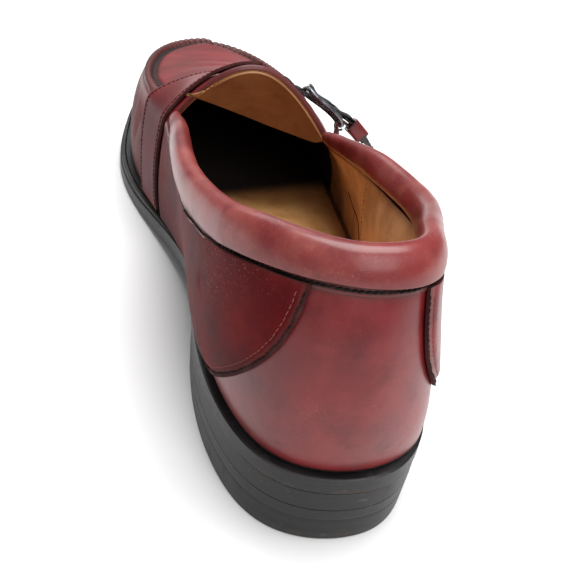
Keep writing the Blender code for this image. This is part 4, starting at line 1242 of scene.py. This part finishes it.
lifts = []
for i in range(STRIP_STEPS + 1):
    point, outward, down = under_collar(collar_seam.length * i / STRIP_STEPS)
    middle = point + down * (STRIP_MIDDLE * STRIP_WIDE - STRIP_TUCK) * MM
    lifts.append((outermost(middle, outward) - middle).dot(outward))
lifts = np.convolve(np.pad(lifts, 9, "edge"), np.ones(19) / 19.0, "valid")


def on_strip(along, part):
    """A place on the outer face of the strip, from the roll down."""
    point, outward, down = under_collar(collar_seam.length * along)
    lift = np.interp(along * STRIP_STEPS, range(STRIP_STEPS + 1), lifts)
    crown = STRIP_CROWN * math.sin(math.pi * part)
    drop = (STRIP_WIDE * part - STRIP_TUCK) * MM
    return point + down * drop + outward * (lift + (STRIP_THICK + crown) * MM)


strip, _ = sheet(STRIP_STEPS, 5, on_strip, under_collar(0.0)[1], STRIP_THICK + STRIP_SUNK)
strip_skin = skin_of(strip)
strip_row, strip_foot = (Line([on_strip(along, part) for along in np.linspace(0.0, 1.0, 400)])
                         for part in (STRIP_ROW, 1.0))
# The strip is burnished all over; polish and painted shade along the stitch row and at its foot.
paint(strip, burnish=lambda co: 0.75,
      crevice=lambda co: max(0.9 * strip_row.beside(co, 0.15, 0.60),
                             0.5 * strip_foot.beside(co, 0.0, 0.30)))
finish_piece("collar_strip", strip, [burgundy])
pale_row = stitches_along(strip_row, strip_skin, *WORN_STITCH,
                          end=strip_row.length / MM - PALE_UNTIL)
black_row = stitches_along(strip_row, strip_skin, *COLLAR_STITCH, turn=14.0, start=PALE_UNTIL)
stamp("collar_worn_stitches", pale_row, worn_thread)
stamp("collar_stitches", black_row, black_thread)

# %% [markdown]
# ## Saddle band
# A band of the same leather runs up the inner side from the sole, over the instep, and carries the
# strap. A row of fine stitches runs beside each of its edges.

# %% Saddle band
BAND_ENDS = ((spot(-33.6, 158.6, 10.6), spot(2.2, 156.5, 75.7)),
             (spot(-37.5, 180.2, 9.0), spot(2.9, 180.7, 63.0)))
BAND_ROW = 1.7
band, band_centre, chain = sewn_panel("saddle_band", 0.75)
band_skin = skin_of(band)
band_edges = [Line(stretch_between(chain, foot, end, (foot + end) / 2.0))
              for foot, end in BAND_ENDS]
band_rows = [shifted(edge, band_skin, BAND_ROW, band_centre) for edge in band_edges]


def at_edges(co, start, end):
    return max(edge.beside(co, start, end) for edge in band_edges)


def at_rows(co, half):
    return max(row.trace(co, half) for row in band_rows)


push(band, corners_of(band, OUTSIDE), lambda co: -0.22 * at_rows(co, 0.45))
# Painted shade: darker and duller towards the foot of the band; polish and painted shade along the
# rows, the edges and the sole.
paint(band, satin=lambda co: fade(shoe_measures(co)[2], 44.0, 62.0),
      crevice=lambda co: max(0.30 * at_rows(co, 0.5), 0.85 * at_edges(co, 0.05, 0.55),
                             0.9 * seat_line.beside(co, 0.6, 2.2)),
      burnish=lambda co: 0.35 * at_edges(co, 0.6, 2.2))
finish_piece("instep_band", band, [burgundy, burgundy, dyed_edge], ["saddle_band"])
rows = [stitches_along(row, band_skin, *BAND_STITCH, sink=0.4) for row in band_rows]
stamp("instep_band_stitches", sum(rows, []), wine_thread)

# %% [markdown]
# ## Lining under the tongue
# Behind the rim of the tongue a tan lining hangs forward and down into the toe, and a row of
# golden stitches holds it along the rim. It is a sheet between two lines, the rim and a straight
# hem.

# %% Tongue lining
LINING_HEM = ((-26.2, 150.0, 65.3), (-13.7, 164.0, 56.2), (-1.1, 170.0, 49.8), (9.7, 170.0, 45.9),
              (18.3, 162.0, 45.7), (26.0, 150.0, 47.3))
LINING_THICK, LINING_TUCK, LINING_SAG, LINING_ROW = 0.8, 0.25, 1.6, 0.06
hem = Line([spot(*place) for place in smooth_course(LINING_HEM, 121)])
rim_start, rim_end = (tongue_edge.nearest(hem.points[i])[1] for i in (0, -1))


def tongue_lining_place(u, v):
    """A place on the lining, by its part along the rim and its part from the rim to the hem."""
    above, _ = tongue_edge.at(rim_start + (rim_end - rim_start) * u)
    below, _ = hem.at(hem.length * u)
    sag = LINING_SAG * math.sin(math.pi * v) * math.sin(math.pi * u)
    return above.lerp(below, v) + DOWN * (LINING_TUCK - sag) * MM


tongue_lining, tongue_lining_skin = sheet(80, 14, tongue_lining_place, DOWN, LINING_THICK)
paint(tongue_lining, burnish=lambda co: 0.35, crevice=lambda co: 0.5 * hem.beside(co, 0.0, 1.2))
finish_piece("tongue_lining", tongue_lining, [lining], ())
tongue_row = Line([tongue_lining_place(u, LINING_ROW) for u in np.linspace(0.02, 0.98, 90)])
stamp("tongue_lining_stitches", stitches_along(tongue_row, tongue_lining_skin, *FINE_STITCH),
      pale_thread)
print("tongue lining hem is", round(hem.length / MM), "mm long")

# %% [markdown]
# ## Braided strap
# The strap is a flat plait of five thin black strips that pass over and under each other. Each
# moves as two sine waves, a slow one across the strap and one four times as fast up and down, a
# fifth of a turn from the next strip's. Past the keeper the strap ends in a smooth tongue.

# %% Course of the strap
STRAP_COURSE = (
    (3.6, 173.5, 64.6), (12.5, 173.0, 62.4), (19.0, 172.5, 59.5), (24.5, 172.0, 56.8),
    (30.0, 171.5, 54.4), (36.0, 171.0, 51.9), (42.8, 170.5, 48.3), (49.2, 170.0, 43.5),
    (54.8, 169.5, 37.6), (59.3, 169.0, 31.0), (61.8, 168.5, 23.5),
)
TILT_AT, TILT_OUT = (0.0, 20.0, 40.0, 55.0, 75.0), (0.0, 0.14, 0.25, 0.25, 0.20)
TILT_UP = (-0.42, -0.44, -0.44, -0.30, -0.12)
course = smooth_course(STRAP_COURSE, 145)
course_lengths = lengths_along(course)
STRAP_LENGTH = course_lengths[-1]


def strap_place(along, across, lift):
    """A place by its distance down the strap, its distance forward and its lift, in millimetres."""
    behind, here, ahead = place_along([along - 1.5, along, along + 1.5], course_lengths, course)
    wide = np.array([np.interp(along, TILT_AT, TILT_OUT), 1.0, np.interp(along, TILT_AT, TILT_UP)])
    wide /= np.linalg.norm(wide)
    outward = np.cross(ahead - behind, wide)
    outward /= np.linalg.norm(outward)
    return spot(*(here + wide * across + outward * lift))


def off_the_strap(along):
    return strap_place(along, 0.0, 1.0) - strap_place(along, 0.0, 0.0)


print("strap is", round(STRAP_LENGTH, 1), "mm long")

# %% Waxed black leather for the plait
f = Finish("plaited_leather")
fibre = f.noise(1.4, 4.0)
worn_top = f.noise(4.0, 4.0).step(0.5, 0.72)
plait_tint = f.layers(colour(22, 20, 21), (fibre.step(0.35, 0.75) * 0.5, colour(44, 40, 39)),
                      (worn_top * 0.35, colour(92, 84, 78)),
                      (f.painted("crevice"), colour(8, 8, 8)))
plaited_leather = f.done(Base_Color=plait_tint, Roughness=0.40 + worn_top * 0.2,
                         Coat_Weight=0.35 - worn_top * 0.2, Coat_Roughness=0.22,
                         Normal=f.relief((f.cells(0.5), 0.03), (fibre, 0.05)))

# %% Plait
STRANDS, STRAND_HALF, STRAND_THICK, STRAND_CROWN = 5, 2.15, 0.75, 0.30
PLAIT_PERIOD, PLAIT_END, PLAIT_LIFT, PLAIT_RISE = 32.0, 57.5, 1.0, 0.42
PLAIT_REACH = 6.5 - STRAND_HALF


def strand(number):
    """One strip of the plait, which wanders across and goes over and under."""
    def place(u, v):
        along = PLAIT_END * u
        turn = 2.0 * math.pi * (along / PLAIT_PERIOD + number / STRANDS)
        lean = math.atan(-PLAIT_REACH * 2.0 * math.pi / PLAIT_PERIOD * math.sin(turn))
        side = 2.0 * v - 1.0
        aside = side * STRAND_HALF
        crown = STRAND_CROWN * (1.0 - side ** 2) + STRAND_THICK / 2.0
        return strap_place(max(along - aside * math.sin(lean), 0.05),
                           PLAIT_REACH * math.cos(turn) + aside * math.cos(lean),
                           PLAIT_LIFT + PLAIT_RISE * math.sin(4.0 * turn) + crown)

    return sheet(84, 4, place, off_the_strap(2.0), STRAND_THICK)[0]


plaited = bmesh.new()
for number in range(STRANDS):
    bm, mesh = strand(number), bpy.data.meshes.new("strand")
    bm.to_mesh(mesh)
    bm.free()
    plaited.from_mesh(mesh)
    bpy.data.meshes.remove(mesh)
finish_piece("plaited_strap", plaited, [plaited_leather], ["braided_strap"], 50.0)

# %% Smooth tongue of the strap
TONGUE_FROM, TONGUE_LIFT, TONGUE_THICK, TONGUE_ROUND = 52.5, 1.95, 1.7, 67.0
TONGUE_END, TONGUE_HALF, ROUND_HALF = STRAP_LENGTH - 0.3, 6.5, 6.4


def tongue_place(u, v):
    """A place on the tongue, which dips under the plait and ends in a half round."""
    along = TONGUE_FROM + (TONGUE_END - TONGUE_FROM) * u
    half = TONGUE_HALF
    if along > TONGUE_ROUND:
        part = (along - TONGUE_ROUND) / (STRAP_LENGTH + 0.4 - TONGUE_ROUND)
        half = ROUND_HALF * math.sqrt(max(1.0 - part ** 2, 0.02))
    side = 2.0 * v - 1.0
    lift = TONGUE_LIFT - 0.7 * fade(along, 55.5, 58.5) - 0.35 * side ** 4
    return strap_place(along, half * side, lift)


tongue, _ = sheet(36, 10, tongue_place, off_the_strap(60.0), TONGUE_THICK)
tongue.edges.layers.float.new("crease_edge")
crease(tongue, sharp_edges(tongue, 60.0), 0.5)
tongue = refined(tongue, 1)
turns = np.linspace(0.0, math.pi, 30)
row_places = ([(u, 0.12) for u in np.linspace(0.3, 0.8, 30)]
              + [(0.8 + 0.12 * math.sin(turn), 0.5 - 0.38 * math.cos(turn)) for turn in turns]
              + [(u, 0.88) for u in np.linspace(0.8, 0.3, 30)])
tongue_row = Line([tongue_place(u, v) for u, v in row_places])
paint(tongue, crevice=lambda co: 0.4 * tongue_row.trace(co, 0.4))
tongue_skin = skin_of(tongue)
finish_piece("strap_tongue", tongue, [plaited_leather], ())
stamp("strap_tongue_stitches", stitches_along(tongue_row, tongue_skin, *FINE_STITCH),
      black_thread)

# %% [markdown]
# ## Buckle
# The buckle is a bowed frame of dark nickel rod, and a prong that turns round its lower bar. The
# metal is cloudy, with fine scratches and pits of dirt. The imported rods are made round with
# Subdivision Surface.

# %% Dark nickel
f = Finish("dark_nickel")
cloudy = f.noise(2.5, 4.0).step(0.35, 0.7)
hair = f.noise(0.12, 2.0, f.places((1.0, 12.0, 1.0), (0.4, 0.2, 0.8))).step(0.6, 0.7)
pits = f.noise(0.7, 5.0, rough=0.7).step(0.62, 0.74)
nickel_tint = f.layers(colour(96, 98, 103), (cloudy, colour(140, 143, 149)),
                       (pits * 0.6, colour(42, 40, 42)), (hair * 0.4, colour(196, 198, 202)))
dark_nickel = f.done(Base_Color=nickel_tint, Metallic=1.0,
                     Roughness=0.24 + cloudy * 0.12 + pits * 0.3,
                     Normal=f.relief((hair, 0.01), (pits, 0.04)))

# %% Frame and prong
for node, name in (("buckle_frame", "buckle_bow"), ("buckle_prong", "buckle_pin")):
    rod = copy_of(node)
    crease(rod, sharp_edges(rod, 65.0), 0.4)
    finish_piece(name, refined(rod, 2), [dark_nickel], [node])

# %% [markdown]
# ## Tab and keeper
# A folded tab of the upper's leather holds the buckle by its lower bar, and a small loop of the
# same leather keeps the strap down. Both are dark and burnished along every edge.

# %% Tab and keeper
for node, name in (("buckle_tab", "buckle_tab_fold"), ("keeper", "strap_keeper")):
    piece = copy_of(node)
    rims = sharp_edges(piece, 55.0)
    crease(piece, rims, 0.7)
    chains = [Line(chain) for chain in walk(rims) if len(chain) > 3]
    piece = refined(piece, 2)
    # Polish and painted shade along every rim, burnish just inside it.
    paint(piece, crevice=lambda co: 0.8 * max(line.beside(co, 0.05, 0.5) for line in chains),
          burnish=lambda co: 0.3 * max(line.beside(co, 0.5, 1.6) for line in chains))
    finish_piece(name, piece, [burgundy], [node])

# %% [markdown]
# ## Floor, light and camera
# The shoe stands on a white sheet under a wide soft panel overhead and three weaker ones round it.
# The camera looks down into the shoe from behind its inner side, so close that the heel looms
# large. It is turned step by step: tipped up from looking straight down, swung round, and rolled.

# %% Floor
FLOOR_REACH = 6.0
ground = bmesh.new()
bmesh.ops.create_grid(ground, x_segments=1, y_segments=1, size=FLOOR_REACH)
floor = put_in_scene("paper_floor", ground)
paper = Finish("white_paper")
floor.data.materials.append(paper.done(Base_Color=(0.86, 0.86, 0.86, 1.0), Roughness=0.75,
                                       Normal=paper.relief((paper.noise(2.0, 3.0), 0.02))))

# %% Light
SHOE_MIDDLE, SKY_STRENGTH = Vector((0.0, 0.0, 0.04)), 0.26
PANELS = {
    "overhead_panel": ((0.12, 0.02, 1.25), 0.9, 21.0),
    "back_panel": ((0.10, -1.0, 0.85), 0.8, 6.5),
    "front_panel": ((-0.15, 1.1, 0.95), 0.8, 4.5),
    "side_panel": ((0.9, -0.6, 0.8), 0.8, 1.2),
}
scene = bpy.context.scene
scene.view_settings.view_transform = "Standard"
scene.view_settings.look = "None"
sky = bpy.data.worlds.new("soft_room")
sky.use_nodes = True
sky.node_tree.nodes["Background"].inputs["Color"].default_value = (1.0, 1.0, 1.0, 1.0)
sky.node_tree.nodes["Background"].inputs["Strength"].default_value = SKY_STRENGTH
scene.world = sky
for name, (place, size, power) in PANELS.items():
    lamp = bpy.data.lights.new(name, "AREA")
    lamp.size, lamp.energy = size, power
    holder = bpy.data.objects.new(name, lamp)
    holder.location = place
    holder.rotation_euler = (SHOE_MIDDLE - Vector(place)).to_track_quat("-Z", "Y").to_euler()
    scene.collection.objects.link(holder)

# %% Camera
EYE = (-0.082736, -0.280418, 0.18135)
YAW, PITCH, ROLL = (math.radians(angle) for angle in (19.34, 34.67, 10.01))
lens = bpy.data.cameras.new("shop_camera")
lens.sensor_width, lens.lens = 36.0, 50.9
lens.clip_start, lens.clip_end = 0.01, 20.0
camera = bpy.data.objects.new("shop_camera", lens)
scene.collection.objects.link(camera)
camera.matrix_world = (Matrix.Translation(EYE) @ Matrix.Rotation(-YAW, 4, "Z")
                       @ Matrix.Rotation(math.pi / 2.0 - PITCH, 4, "X")
                       @ Matrix.Rotation(ROLL, 4, "Z"))
scene.camera = camera
print("camera looks down", round(math.degrees(PITCH)), "degrees")

# %% Update the scene
bpy.context.view_layer.update()
